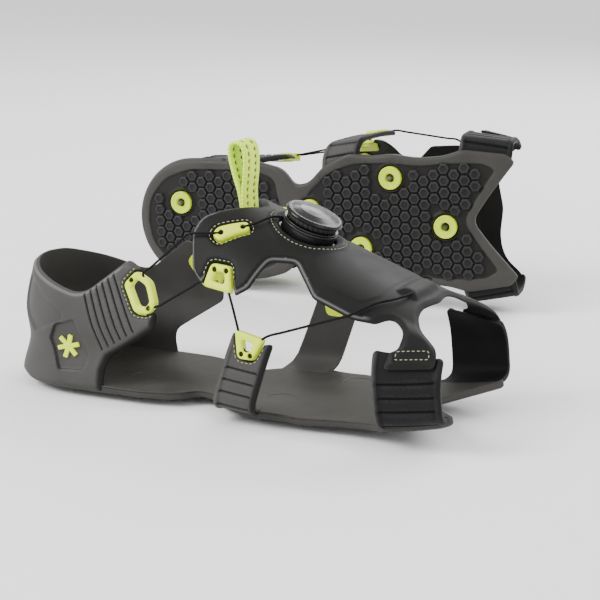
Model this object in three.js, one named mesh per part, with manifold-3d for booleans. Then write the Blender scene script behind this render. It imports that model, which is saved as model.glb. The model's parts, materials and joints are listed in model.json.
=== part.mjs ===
// A pair of over-shoe ice cleats, in millimetres, +Z up.
// Each cleat is a moulded rubber outsole with a heel cup, two straps a side and six steel studs, joined
// over the instep by a panel that carries a ratcheting lace dial. The right cleat stands as it is worn.
// The left one, its mirror image, lies on its outer side behind it with the tread facing forward.
//
// Every flexible piece is drawn as a flat pattern and wrapped on the form of the shoe inside it. A pattern
// is drawn for the left foot, x from the heel's back to the toe, the outer side positive.
import * as THREE from 'three';
import { mergeVertices } from 'three/addons/utils/BufferGeometryUtils.js';
import Module from 'manifold-3d';

const wasm = await Module();
wasm.setup();

// ---- Driving dimensions ----
const cleatLength = 256; // heel's back to the front strap's edge
const ballWidth = 105; // shoe width that the front straps span
const instepHeight = 114; // shoe height where the panel starts

const soleThickness = 3.4;
const wallThickness = 3;
const treadDepth = 1.8;
const studReach = 2.5; // steel below the tread

const panelThickness = 2.2;
const panelStandoff = 1.2; // room under the panel for the guides' sewn flanges
const badgePocketDepth = 0.8;

const laceRadius = 0.6;
const laceClearance = 0.4;
const fitGap = 0.3; // between pieces that seat in each other

const guideThickness = 4.1;
const flangeThickness = 0.8;
const guideBar = 3.7; // rim round a guide's window
const underside = 0.1; // of the flanges, above the shoe

const collarRadius = 7.3;
const studRadius = 2;
const studHeadRadius = 4;

const dialStation = 161; // the dial's place along the instep ridge
const cupRadius = 14;
const cupWall = 1.7;
const housingWall = 1.4;
const spoolRadius = 9;
const spoolHub = 6;
const screwRadius = 1.5;
const gripRadius = 13.2;
const knobRadius = 15;

const loopWidth = 16;
const loopThickness = 1.5;
const loopHeight = 36;
const loopDepth = 10;

// ---- Grading: the patterns below are drawn for the reference size ----
const referenceSize = { length: 256, width: 105, height: 114 };
const grade = new THREE.Vector3(
  cleatLength / referenceSize.length,
  ballWidth / referenceSize.width,
  instepHeight / referenceSize.height,
);

// ---- Materials ----
const rubber = new THREE.MeshStandardMaterial({ color: 0x3a3a38, roughness: 0.62, metalness: 0 });
const panelRubber = new THREE.MeshStandardMaterial({ color: 0x323230, roughness: 0.55, metalness: 0 });
const blackNylon = new THREE.MeshStandardMaterial({ color: 0x1d1d1e, roughness: 0.35, metalness: 0 });
const limeNylon = new THREE.MeshStandardMaterial({ color: 0xc9de4c, roughness: 0.42, metalness: 0 });
const laceFibre = new THREE.MeshStandardMaterial({ color: 0x17171a, roughness: 0.5, metalness: 0 });
const limeWebbing = new THREE.MeshStandardMaterial({ color: 0xa6dc2e, roughness: 0.85, metalness: 0 });
const steel = new THREE.MeshStandardMaterial({ color: 0xa9abad, roughness: 0.3, metalness: 1 });

// ---- Solids and meshes ----
function facingOut(geometry) {
  const corner = geometry.getAttribute('position');
  const order = geometry.getIndex().array;
  const [a, b, c] = [new THREE.Vector3(), new THREE.Vector3(), new THREE.Vector3()];
  let volume = 0;
  for (let i = 0; i < order.length; i += 3) {
    a.fromBufferAttribute(corner, order[i]);
    b.fromBufferAttribute(corner, order[i + 1]);
    c.fromBufferAttribute(corner, order[i + 2]);
    volume += a.dot(b.cross(c));
  }
  if (volume < 0) {
    geometry.setIndex(Array.from(order).reverse());
  }
  return geometry;
}

function welded(geometry) {
  const bare = geometry.clone();
  bare.deleteAttribute('normal');
  bare.deleteAttribute('uv');
  return facingOut(mergeVertices(bare, 1e-4));
}

function solidOf(geometry) {
  const closed = welded(geometry);
  const mesh = new wasm.Mesh({
    numProp: 3,
    vertProperties: Float32Array.from(closed.getAttribute('position').array),
    triVerts: Uint32Array.from(closed.getIndex().array),
  });
  return new wasm.Manifold(mesh);
}

function geometryOf(solid) {
  const mesh = solid.getMesh();
  const geometry = new THREE.BufferGeometry();
  geometry.setAttribute('position', new THREE.BufferAttribute(Float32Array.from(mesh.vertProperties), 3));
  geometry.setIndex(Array.from(mesh.triVerts));
  geometry.computeVertexNormals();
  return geometry;
}

function joined(...solids) {
  return solids.reduce((whole, piece) => whole.add(piece));
}

function cutBy(solid, ...tools) {
  return tools.reduce((rest, tool) => rest.subtract(tool), solid);
}

// ---- Outlines ----
// A corner is [along, across, radius]; without a radius it is sharp.
function outline(corners) {
  const shape = new THREE.Shape();
  const clockwise = THREE.ShapeUtils.area(corners.map(([x, y]) => new THREE.Vector2(x, y))) < 0;
  const ordered = clockwise ? [...corners].reverse() : corners;
  ordered.forEach((corner, i) => {
    const here = new THREE.Vector2(corner[0], corner[1]);
    const before = new THREE.Vector2(...ordered.at(i - 1).slice(0, 2));
    const after = new THREE.Vector2(...ordered[(i + 1) % ordered.length].slice(0, 2));
    const radius = corner[2] ?? 0;
    const reach = Math.min(radius, here.distanceTo(before) * 0.45, here.distanceTo(after) * 0.45);
    const start = here.clone().lerp(before, reach / here.distanceTo(before));
    const end = here.clone().lerp(after, reach / here.distanceTo(after));
    if (i === 0) {
      shape.moveTo(start.x, start.y);
    } else {
      shape.lineTo(start.x, start.y);
    }
    if (radius > 0) {
      shape.quadraticCurveTo(here.x, here.y, end.x, end.y);
    }
  });
  shape.closePath();
  return shape;
}

// The corners moved out by a distance, or in by a negative one.
function grown(corners, distance) {
  const points = corners.map(([x, y]) => new THREE.Vector2(x, y));
  const turn = THREE.ShapeUtils.area(points) > 0 ? 1 : -1;
  return corners.map((corner, i) => {
    const into = points[i].clone().sub(points.at(i - 1)).normalize();
    const out = points[(i + 1) % points.length].clone().sub(points[i]).normalize();
    const side = new THREE.Vector2(into.y + out.y, -into.x - out.x).normalize();
    const stretch = Math.min(1 / Math.abs(side.dot(new THREE.Vector2(out.y, -out.x))), 2);
    const moved = points[i].clone().addScaledVector(side, turn * distance * stretch);
    return [moved.x, moved.y, ...corner.slice(2)];
  });
}

// A half outline and its mirror image across the chosen coordinate, 0 or 1.
function bothHalves(half, coordinate) {
  const other = half.filter((corner) => corner[coordinate] !== 0).reverse();
  const mirrored = other.map((corner) => corner.map((value, i) => (i === coordinate ? -value : value)));
  return [...half, ...mirrored];
}

// ---- The form of the shoe ----
function curveThrough(stations) {
  const slopes = stations.map((_, i) => {
    const [x0, y0] = stations[Math.max(i - 1, 0)];
    const [x1, y1] = stations[Math.min(i + 1, stations.length - 1)];
    return (y1 - y0) / (x1 - x0);
  });
  return (wanted) => {
    const x = THREE.MathUtils.clamp(wanted, stations[0][0], stations.at(-1)[0]);
    const i = Math.min(stations.findIndex((station) => station[0] > x) - 1, stations.length - 2);
    const k = i < 0 ? stations.length - 2 : i;
    const span = stations[k + 1][0] - stations[k][0];
    const t = (x - stations[k][0]) / span;
    const share = 3 * t ** 2 - 2 * t ** 3;
    const rise = stations[k][1] * (1 - share) + stations[k + 1][1] * share;
    return rise + span * (slopes[k] * (t ** 3 - 2 * t ** 2 + t) + slopes[k + 1] * (t ** 3 - t ** 2));
  };
}

const ridgeHeight = curveThrough([
  [95, 114], [130, 101], [161, 88], [200, 72], [230, 61], [255, 52], [270, 45],
]);
const halfWidth = curveThrough([
  [95, 42], [110, 43], [130, 46], [155, 50], [190, 52.5], [215, 51.5], [235, 49], [253, 46], [270, 41],
]);
const bottomHeight = curveThrough([[150, 7.5], [185, 7.5], [222, 10.5], [253, 16], [275, 22]]);
const heelOffset = curveThrough([[0, 0], [7.5, 0], [24, -4], [42, -2.5], [66, -7.5], [80, -10]]);
const heelRadius = 38;
const beltHeight = 28; // where the shoe is widest
const upperPower = 2.3;
const lowerPower = 7;
const sectionSteps = 24;

// Half a cross section, from the instep ridge round to the middle of the bottom.
function halfSection(x) {
  const width = halfWidth(x);
  const above = ridgeHeight(x) - beltHeight;
  const below = beltHeight - bottomHeight(x);
  const points = [];
  for (let i = 0; i <= sectionSteps; i += 1) {
    const angle = (Math.PI / 2) * (1 - i / sectionSteps);
    const y = width * Math.cos(angle) ** (2 / upperPower);
    points.push(new THREE.Vector2(i === 0 ? 0 : y, beltHeight + above * Math.sin(angle) ** (2 / upperPower)));
  }
  for (let i = 1; i <= sectionSteps; i += 1) {
    const angle = (Math.PI / 2) * (i / sectionSteps);
    const y = width * Math.cos(angle) ** (2 / lowerPower);
    const z = beltHeight - below * Math.sin(angle) ** (2 / lowerPower);
    points.push(new THREE.Vector2(i === sectionSteps ? 0 : y, z));
  }
  return points;
}

function sectionLength(x) {
  const points = halfSection(x);
  return points.slice(1).reduce((length, point, i) => length + point.distanceTo(points[i]), 0);
}

// The point of the section at x that lies a girth away from the ridge.
function onSection(x, girth) {
  const points = halfSection(x);
  let left = Math.abs(girth);
  for (let i = 1; i < points.length; i += 1) {
    const step = points[i].distanceTo(points[i - 1]);
    if (left <= step || i === points.length - 1) {
      const at = points[i - 1].clone().lerp(points[i], left / step);
      return new THREE.Vector3(x, Math.sign(girth) * at.x, at.y);
    }
    left -= step;
  }
  return null;
}

// A surface gives a point for (u, v), and hand says which way its outer face looks.
const instep = { hand: 1, point: (x, girth) => onSection(x, girth) };
const sole = { hand: 1, point: (x, y) => new THREE.Vector3(x, y, bottomHeight(x)) };
const heel = {
  hand: -1,
  point: (along, height) => {
    const radius = heelRadius + heelOffset(height);
    const bend = Math.min(Math.abs(along) / heelRadius, Math.PI / 2);
    const straight = Math.max(Math.abs(along) - (heelRadius * Math.PI) / 2, 0);
    const y = Math.sign(along) * radius * Math.sin(bend);
    return new THREE.Vector3(heelRadius - radius * Math.cos(bend) + straight, y, height);
  },
};
// A strap's rise is measured round the section from a line under the shoe.
const rootInset = 10;
const strapSide = (side) => ({
  hand: -side,
  point: (x, rise) => onSection(x, side * (sectionLength(x) - halfWidth(x) + rootInset - rise)),
});
// The front tabs of the panel climb over the tops of the front straps.
const smooth = THREE.MathUtils.smoothstep;
const tabClimb = (x, girth) => (wallThickness + 2 * fitGap - panelStandoff)
  * smooth(x, 214, 226) * smooth(Math.abs(girth), 30, 40);
const panelForm = { ...instep, climb: tabClimb };

function raised(surface, u, v, lift) {
  const step = 0.5;
  const at = surface.point(u, v).multiply(grade);
  const alongU = surface.point(u + step, v).multiply(grade).sub(surface.point(u - step, v).multiply(grade));
  const alongV = surface.point(u, v + step).multiply(grade).sub(surface.point(u, v - step).multiply(grade));
  const normal = alongU.cross(alongV).normalize().multiplyScalar(surface.hand);
  return at.addScaledVector(normal, lift + (surface.climb ? surface.climb(u, v) : 0));
}

// A pattern piece, cut from a gridded sheet that reaches from low to high above the surface, and wrapped
// on it. The sheet is domed a little while it is cut, because a join or cut drops the grid of a flat face.
const cornerSegments = 1;
const dome = (x, y) => 0.00002 * (x * x + y * y);
function wrapped(shape, surface, low, high, [grainU, grainV]) {
  const extent = new THREE.Box2().setFromPoints(shape.getPoints(cornerSegments));
  const [size, middle] = [extent.getSize(new THREE.Vector2()), extent.getCenter(new THREE.Vector2())];
  const cells = [Math.ceil(size.x / grainU), Math.ceil(size.y / grainV)];
  const sheet = new THREE.BoxGeometry(size.x + 2, size.y + 2, high - low, ...cells, 1);
  sheet.translate(middle.x, middle.y, (high + low) / 2);
  moveCorners(sheet, (at) => at.setZ(at.z + dome(at.x, at.y)));
  const cut = { depth: 200, bevelEnabled: false, curveSegments: cornerSegments };
  const cutter = new THREE.ExtrudeGeometry(shape, cut);
  const piece = geometryOf(solidOf(sheet).intersect(solidOf(cutter.translate(0, 0, -60))));
  moveCorners(piece, (at) => at.copy(raised(surface, at.x, at.y, at.z - dome(at.x, at.y))));
  return solidOf(piece);
}

function moveCorners(geometry, move) {
  const corner = geometry.getAttribute('position');
  const at = new THREE.Vector3();
  for (let i = 0; i < corner.count; i += 1) {
    move(at.fromBufferAttribute(corner, i));
    corner.setXYZ(i, at.x, at.y, at.z);
  }
}

// The frame that a turned piece stands in: its axis leaves the surface at (u, v).
function seatOn(surface, u, v) {
  const origin = raised(surface, u, v, 0);
  const up = raised(surface, u, v, 1).sub(origin).normalize();
  const forward = raised(surface, u + 1, v, 0).sub(origin);
  const across = up.clone().cross(forward).normalize();
  return new THREE.Matrix4().makeBasis(across.clone().cross(up), across, up).setPosition(origin);
}

// A solid of revolution from [radius, height] points, standing in a seat.
function turned(profile, seat, sides = 16) {
  const points = profile.map(([radius, height]) => new THREE.Vector2(radius, height));
  if (profile[0][0] > 0) {
    points.push(points[0].clone());
  }
  const lathe = new THREE.LatheGeometry(points, sides).rotateX(Math.PI / 2);
  return solidOf(lathe.applyMatrix4(seat));
}

const sides = { outer: 1, inner: -1 };
// The grids of the sheets: closest along the direction that the form bends in.
const small = [30, 9];
const acrossPanel = [26, 11];
const alongSole = [30, 400];
const upStrap = [40, 6];
const roundHeel = [11, 24];

// ---- Lace ----
const dialSeat = seatOn(instep, dialStation, 0);
const laceLevel = 4.9; // the lace's height in the dial and above the panel
const fromDial = (x, y, height) => new THREE.Vector3(x, y, height).applyMatrix4(dialSeat);
const outerStrap = strapSide(sides.outer);
const outerLacePoints = [
  fromDial(-9.4, 3.6, laceLevel),
  fromDial(-15.5, 9, laceLevel),
  raised(instep, 141, 21.5, 5.1),
  raised(instep, 137.6, 24.6, 4.4),
  raised(instep, 133, 28.6, 3),
  raised(instep, 128.4, 32.2, 4.4),
  raised(instep, 124.5, 34.2, 5.1),
  raised(instep, 113, 38.6, 4.9),
  raised(heel, 108, 67, 3.8),
  raised(heel, 110.6, 62, 2.3),
  raised(heel, 112.8, 56.5, 2.1),
  raised(heel, 114.6, 51.5, 2.6),
  raised(heel, 119, 52.5, 3.4),
  raised(instep, 123, 57.5, 0.7),
  raised(instep, 129, 56.2, 1.8),
  raised(instep, 134, 55.4, 2.1),
  raised(instep, 139.2, 54.7, 2.1),
  raised(instep, 142.5, 58.5, 2.7),
  raised(outerStrap, 148.8, 49.5, 3.2),
  raised(outerStrap, 151, 42.5, 2.2),
  raised(outerStrap, 153.6, 37.6, 2.1),
  raised(outerStrap, 157, 37.8, 2.1),
  raised(outerStrap, 160.6, 42.5, 2.2),
  raised(outerStrap, 166.5, 46.5, 3.6),
  raised(instep, 203, 44, 5.2),
  raised(instep, 212, 31.5, 4.9),
  raised(instep, 218.5, 22.5, 4.9),
  raised(instep, 222, 12, 4.9),
];
const crossOver = raised(instep, 222.6, 0, 4.9);
const mirroredPoint = (point) => new THREE.Vector3(point.x, -point.y, point.z);

// A long free run is taut, so it gets two more points that keep it straight between its bends.
function tautened(points) {
  const easing = 7;
  return points.flatMap((point, i) => {
    const next = points[i + 1];
    if (!next || point.distanceTo(next) < 3 * easing) {
      return [point];
    }
    const share = easing / point.distanceTo(next);
    return [point, point.clone().lerp(next, share), point.clone().lerp(next, 1 - share)];
  });
}

const lacePoints = [...outerLacePoints, crossOver, ...outerLacePoints.map(mirroredPoint).reverse()];
const laceCurve = new THREE.CatmullRomCurve3(tautened(lacePoints), false, 'centripetal');

function tubeAlong(curve, radius, tubeSides, steps) {
  const section = new THREE.Shape();
  for (let i = 0; i < tubeSides; i += 1) {
    const angle = (i / tubeSides) * Math.PI * 2;
    const [x, y] = [radius * Math.cos(angle), radius * Math.sin(angle)];
    if (i === 0) {
      section.moveTo(x, y);
    } else {
      section.lineTo(x, y);
    }
  }
  section.closePath();
  return solidOf(new THREE.ExtrudeGeometry(section, { steps, extrudePath: curve, bevelEnabled: false }));
}

const laceSides = 4;
const laceSteps = 84;
const lace = tubeAlong(laceCurve, laceRadius, laceSides, laceSteps);
const laceChannel = tubeAlong(laceCurve, laceRadius + laceClearance, laceSides, laceSteps);

// ---- Lace guides: a windowed body that the rubber is cut round, and a flange that is sewn behind it ----
const guidePatterns = {
  panel_guide: {
    body: [[129, 46.6], [139.4, 44.6], [143, 56.6], [126.6, 58.6]],
    flange: [[125, 43.4], [142.6, 41], [145.4, 53], [124, 55]],
  },
  heel_guide: {
    body: [[97, 61], [103.6, 68.4], [112.6, 64], [117.2, 53], [113, 47.6], [105, 47.6]],
    flange: [[93.5, 60.5], [100, 68.4], [111, 46], [103.2, 44]],
  },
  mid_guide: {
    body: [[148, 47.4], [164.4, 44.6], [158.5, 34], [150.4, 34]],
    flange: [[145.4, 41.6], [149, 30.4], [160.6, 30.4], [165.4, 40.4]],
  },
  eyelet: {
    body: [[126, 29.8], [138.2, 20.2], [141.4, 24], [129.4, 35.8], [125, 34.4]],
    flange: [[123, 27.6], [138, 16.4], [144.6, 23.6], [130, 39.6], [121.6, 36.8]],
  },
};

function guideSurface(kind, side) {
  if (kind === 'mid_guide') {
    return strapSide(side);
  }
  return kind === 'heel_guide' ? heel : instep;
}

// A pattern for the outer side, moved to the side it is wanted on. Strap patterns have a surface a side.
function onSide(corners, kind, side) {
  if (kind === 'mid_guide' || side > 0) {
    return corners;
  }
  const coordinate = kind === 'heel_guide' ? 0 : 1;
  return corners.map((corner) => corner.map((value, i) => (i === coordinate ? -value : value))).reverse();
}

function guide(kind, side) {
  const surface = guideSurface(kind, side);
  const { body, flange } = guidePatterns[kind];
  const frame = outline(onSide(body, kind, side));
  if (kind !== 'eyelet') {
    frame.holes.push(outline(onSide(grown(body, -guideBar), kind, side)));
  }
  return cutBy(
    joined(
      wrapped(frame, surface, underside, kind === 'eyelet' ? guideThickness + 0.8 : guideThickness, small),
      wrapped(outline(onSide(flange, kind, side)), surface, underside, underside + flangeThickness, small),
    ),
    ...(kind === 'eyelet' ? [] : [windowThrough(kind, side)]),
    laceChannel,
  );
}

// The window stays open where the flange crosses it.
function windowThrough(kind, side) {
  const opening = outline(onSide(grown(guidePatterns[kind].body, -guideBar), kind, side));
  return wrapped(opening, guideSurface(kind, side), -2, 8, small);
}

// The room that a guide's body needs in the rubber round it, with the recess for its flange.
function guideNotch(kind, side) {
  const surface = guideSurface(kind, side);
  const { body, flange } = guidePatterns[kind];
  return joined(
    wrapped(outline(onSide(grown(body, fitGap), kind, side)), surface, -2, 8, small),
    wrapped(outline(onSide(grown(flange, fitGap), kind, side)), surface, -2, panelStandoff, small),
  );
}

// ---- Instep panel ----
const halfPanel = [
  [136, 0], [129, 12], [115.5, 27, 4], [113.5, 36], [118.5, 54, 2], [124.5, 58],
  [129.5, 51], [141, 50], [144.5, 57], [151, 51, 2], [157, 34, 3], [168.5, 28.4, 3],
  [183.5, 42], [205, 43, 3], [216, 39.8], [222.5, 33, 2], [230, 39], [230, 47.5],
  [226.4, 50.5], [225, 58.5, 2], [248.6, 48, 2], [247, 40.4, 2], [236.5, 33], [231.5, 25],
  [230, 16], [232.5, 0],
];
const loopStation = 129;
const loopTail = [[127, -loopWidth / 2], [141, -loopWidth / 2], [141, loopWidth / 2], [127, loopWidth / 2]];
const laceBridge = [[216, 14], [225.6, 14], [226.6, 0], [225.6, -14], [216, -14]];

// The dial base's flange, an ellipse in the pattern, grown by a clearance.
function dialFlange(clearance) {
  const count = 14;
  return Array.from({ length: count }, (_, i) => {
    const angle = (i / count) * Math.PI * 2;
    const [along, across] = [18.5 + clearance, 20 + clearance];
    return [dialStation + along * Math.cos(angle), across * Math.sin(angle)];
  });
}

// Room under the panel for a flange that is sewn to it.
function flangeRecess(corners) {
  return wrapped(outline(corners), instep, -2, underside + flangeThickness + fitGap, small);
}

function instepPanel() {
  const top = panelStandoff + panelThickness;
  const flat = wrapped(outline(bothHalves(halfPanel, 1)), panelForm, panelStandoff, top, acrossPanel);
  const bridge = wrapped(outline(laceBridge), instep, top - 1, top + 3.2, acrossPanel);
  const dialHole = turned([[0, -4], [cupRadius + fitGap, -4], [cupRadius + fitGap, 9], [0, 9]], dialSeat);
  const notches = Object.values(sides).flatMap((side) => [
    guideNotch('panel_guide', side),
    guideNotch('eyelet', side),
  ]);
  const recesses = [flangeRecess(dialFlange(fitGap)), flangeRecess(grown(loopTail, fitGap))];
  return cutBy(joined(flat, bridge), dialHole, ...notches, ...recesses, laceChannel);
}

// ---- Outsole ----
const heelBottom = 4.4;
const halfHeelWall = [
  [0, heelBottom], [86, heelBottom], [85.5, 15], [88, 22, 4], [100, 30], [116, 40.4],
  [116.5, 48], [110, 51], [102.5, 64], [105.5, 69.4], [97.5, 73.6, 2],
  [71, 53, 5], [42, 60.5], [16, 66], [0, 66.5],
];
const badgePocket = [[53, 29], [57, 36.5], [68, 40], [75.5, 22], [73.5, 14.5], [59.5, 13.5]];
const halfSolePlan = [
  [-2.6, 0], [-1.4, 11], [3.4, 23.6], [13, 33.8], [26, 39.4], [40, 40.6], [88, 38.6], [106, 34, 4],
  [112, 22, 5], [122, 25], [133, 36], [150, 43.5], [166, 41.5], [178, 43], [196, 40],
  [212, 41], [224, 44.6], [251, 41, 3], [255, 35.5], [238, 14, 8], [228.5, 0],
];
const heelPad = [[4, 0], [6, 14], [18, 28], [36, 34.5], [86, 33.5], [99, 28, 4], [101, 0]];
const forefootPad = [
  [118, 0], [120.5, 17], [136, 31], [152, 37], [178, 38], [212, 36], [240, 37],
  [246, 33.5], [232, 16], [223.5, 0],
];
const frontStrap = [[219, -4], [222, 6], [218.5, 43.4, 2], [251, 37.6, 2], [254, 6], [252, -4]];
const midStrap = [
  [131, -4], [131.5, 4], [146.4, 46.4, 2], [149.6, 42.5], [161.5, 41], [168.6, 43, 2], [156.6, 5], [155, -4],
];
// Studs by their place under the foot.
const studPlaces = {
  a: [178, -28], b: [212, 3], c: [156, 17], d: [122, -7], e: [74, 14], f: [30, -12],
};
// Levels below the shoe's bottom.
const plateTop = 0.2;
const plateBottom = plateTop - soleThickness;
const treadBottom = plateBottom - treadDepth;
const studTip = treadBottom - studReach;
const pocketCeiling = -1.4;

function studPocket(place) {
  const radius = collarRadius + fitGap;
  const bore = [[0, -9], [radius, -9], [radius, pocketCeiling], [0, pocketCeiling]];
  return turned(bore, seatOn(sole, ...place), 12);
}

function badgeRecess(side) {
  const floor = wallThickness - badgePocketDepth;
  return wrapped(outline(onSide(badgePocket, 'heel_guide', side)), heel, floor, wallThickness + 2, alongSole);
}

function outsole() {
  const plate = wrapped(outline(bothHalves(halfSolePlan, 1)), sole, plateBottom, plateTop, alongSole);
  const pads = [heelPad, forefootPad].map((half) => (
    wrapped(outline(bothHalves(half, 1)), sole, treadBottom, plateBottom + 0.6, alongSole)
  ));
  const wall = wrapped(outline(bothHalves(halfHeelWall, 0)), heel, 0, wallThickness, roundHeel);
  const straps = Object.values(sides).flatMap((side) => [frontStrap, midStrap].map((strap) => (
    wrapped(outline(strap), strapSide(side), 0, wallThickness, upStrap)
  )));
  const pockets = Object.values(studPlaces).map(studPocket);
  const notches = Object.values(sides).flatMap((side) => [
    guideNotch('heel_guide', side),
    guideNotch('mid_guide', side),
    badgeRecess(side),
  ]);
  return cutBy(joined(plate, ...pads, wall, ...straps), ...pockets, ...notches, laceChannel);
}

// ---- Studs: a steel pin whose head sits in the collar that is moulded round it ----
const collarTop = pocketCeiling - fitGap;
const collarShelf = collarTop - 1.2;
const collarFace = treadBottom - 0.3;
function collar(place) {
  const bore = studRadius + fitGap;
  const counterbore = studHeadRadius + fitGap;
  return turned([
    [bore, collarFace], [collarRadius, collarFace], [collarRadius, collarTop],
    [counterbore, collarTop], [counterbore, collarShelf], [bore, collarShelf],
  ], seatOn(sole, ...place), 12);
}

function stud(place) {
  const headBottom = collarShelf + fitGap;
  const headTop = headBottom + 0.6;
  return turned([
    [0, studTip], [0.7, studTip], [studRadius, studTip + 1.6], [studRadius, headBottom],
    [studHeadRadius, headBottom], [studHeadRadius, headTop], [0, headTop],
  ], seatOn(sole, ...place), 8);
}

// ---- Lace dial, by height above the shoe along its axis ----
const cupBottom = -1.4; // the cup's foot meets its flange where the instep rounds away
const cupFloorTop = 0.9;
const housingFloor = cupFloorTop + fitGap;
const housingFloorTop = housingFloor + 1;
const spoolBottom = housingFloorTop + fitGap;
const spoolTop = spoolBottom + 4.6;
const cupTop = spoolTop - 0.6;
const lipBottom = cupTop + fitGap;
const lipTop = lipBottom + 0.9;
const knobBottom = lipTop + fitGap;
const discBottom = knobBottom + 2.8;
const discRim = discBottom + 1.6;
const knobTop = discBottom + 4.4;
const boreOf = (radius) => radius + fitGap;
const skirtRadius = gripRadius - 1.6;
const lipBore = skirtRadius - 1; // the lip reaches in under the knob's skirt

function dialBase() {
  const flange = wrapped(outline(dialFlange(0)), instep, underside, underside + flangeThickness, small);
  const cupBore = cupRadius - cupWall;
  const cup = turned([
    [0, cupBottom], [cupRadius, cupBottom], [cupRadius, cupTop], [cupBore, cupTop],
    [cupBore, cupFloorTop], [0, cupFloorTop],
  ], dialSeat, 16);
  const screwBore = boreOf(screwRadius);
  const screwHole = turned([[0, -6], [screwBore, -6], [screwBore, 2], [0, 2]], dialSeat, 12);
  return cutBy(joined(flange, cup), screwHole, laceChannel);
}

function reelHousing() {
  const outer = cupRadius - cupWall - fitGap;
  const inner = outer - housingWall;
  const body = turned([
    [boreOf(screwRadius), housingFloor], [outer, housingFloor], [outer, lipBottom], [cupRadius, lipBottom],
    [cupRadius, lipTop], [lipBore, lipTop], [lipBore, lipBottom], [inner, lipBottom - 0.6],
    [inner, housingFloorTop], [boreOf(screwRadius), housingFloorTop],
  ], dialSeat, 16);
  return cutBy(body, laceChannel);
}

function spool() {
  const bore = boreOf(screwRadius);
  const flange = 0.9;
  return turned([
    [bore, spoolBottom], [spoolRadius, spoolBottom], [spoolRadius, spoolBottom + flange],
    [spoolHub, spoolBottom + flange], [spoolHub, spoolTop - flange], [spoolRadius, spoolTop - flange],
    [spoolRadius, spoolTop], [bore, spoolTop],
  ], dialSeat);
}

function knob() {
  const bore = boreOf(screwRadius);
  const roof = discBottom + 1.6;
  return turned([
    [bore, knobBottom], [skirtRadius, knobBottom], [skirtRadius, discBottom], [knobRadius - 0.8, discBottom],
    [knobRadius, discBottom + 0.7], [knobRadius - 0.3, discRim], [knobRadius - 2.4, discRim + 1.1],
    [8, knobTop - 0.5], [0, knobTop], [0, roof], [bore, roof],
  ], dialSeat, 16);
}

const gripRibs = 12;
function knobGrip() {
  const inner = boreOf(skirtRadius);
  const ring = outline(Array.from({ length: gripRibs * 2 }, (_, i) => {
    const angle = (i / gripRibs) * Math.PI;
    const radius = gripRadius - (i % 2) * 0.6;
    return [radius * Math.cos(angle), radius * Math.sin(angle)];
  }));
  ring.holes.push(new THREE.Path().absarc(0, 0, inner, 0, Math.PI * 2));
  const depth = discBottom - knobBottom - 2 * fitGap;
  const band = new THREE.ExtrudeGeometry(ring, { depth, bevelEnabled: false, curveSegments: 12 });
  return solidOf(band.translate(0, 0, knobBottom + fitGap).applyMatrix4(dialSeat));
}

function dialScrew() {
  const headBottom = 0.4;
  return turned([
    [0, headBottom], [screwRadius, headBottom], [screwRadius, discBottom], [0, discBottom],
  ], dialSeat, 12);
}

// ---- Pull loop: webbing folded on itself behind the panel, its ends sewn under the rear edge ----
function pullLoop() {
  const lean = -0.12;
  const foot = ridgeHeight(loopStation) - 1;
  const profile = (inset, root) => {
    const top = loopHeight - inset;
    const half = loopDepth / 2 - inset;
    const bulge = top - half;
    return [
      ...root, [-half, bulge * 0.7], [-half, bulge], [-half * 0.7, top - half * 0.25], [0, top],
      [half * 0.7, top - half * 0.25], [half, bulge], [half, bulge * 0.7],
    ].map(([x, z]) => [x + z * lean, z, 3]);
  };
  const pinch = 9;
  const band = outline(profile(0, [[loopThickness, 0], [-loopThickness, 0]]));
  band.holes.push(outline(profile(loopThickness, [[0, pinch]])));
  const loop = new THREE.ExtrudeGeometry(band, { depth: loopWidth, bevelEnabled: false, curveSegments: 3 });
  loop.rotateX(Math.PI / 2).translate(loopStation * grade.x, loopWidth / 2, foot * grade.z);
  return joined(solidOf(loop), wrapped(outline(loopTail), instep, -0.6, underside + flangeThickness, small));
}

// ---- One cleat ----
// Modelled as the left one; the right one is its mirror image.
function cleat(prefix, mirrored) {
  const group = new THREE.Group();
  const add = (name, solid, material) => {
    const geometry = geometryOf(solid);
    if (mirrored) {
      geometry.scale(1, -1, 1);
      geometry.setIndex(Array.from(geometry.getIndex().array).reverse());
      geometry.computeVertexNormals();
    }
    const mesh = new THREE.Mesh(geometry, material);
    mesh.name = `${prefix}_${name}`;
    group.add(mesh);
  };
  add('outsole', outsole(), rubber);
  add('instep_panel', instepPanel(), panelRubber);
  add('dial_base', dialBase(), blackNylon);
  add('reel_housing', reelHousing(), blackNylon);
  add('spool', spool(), blackNylon);
  add('knob', knob(), blackNylon);
  add('knob_grip', knobGrip(), rubber);
  add('dial_screw', dialScrew(), steel);
  add('lace', lace, laceFibre);
  add('pull_loop', pullLoop(), limeWebbing);
  for (const kind of Object.keys(guidePatterns)) {
    for (const [sideName, side] of Object.entries(sides)) {
      add(`${kind}_${sideName}`, guide(kind, side), limeNylon);
    }
  }
  for (const [letter, place] of Object.entries(studPlaces)) {
    add(`stud_collar_${letter}`, collar(place), limeNylon);
    add(`stud_${letter}`, stud(place), steel);
  }
  return group;
}

// ---- The pair ----
function lowerToFloor(group) {
  group.position.z -= new THREE.Box3().setFromObject(group, true).min.z;
}

const rightCleat = cleat('right', true);
const leftCleat = cleat('left', false);
lowerToFloor(rightCleat);
// Lying on its outer side: tread forward, toe to the right, with a small turn and lean.
const lyingTurn = THREE.MathUtils.degToRad(2.6);
const lyingLean = THREE.MathUtils.degToRad(-4);
leftCleat.rotation.set(Math.PI * -0.5, lyingLean, lyingTurn, 'ZYX');
leftCleat.position.set(-61, 206, 0);
lowerToFloor(leftCleat);

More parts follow.
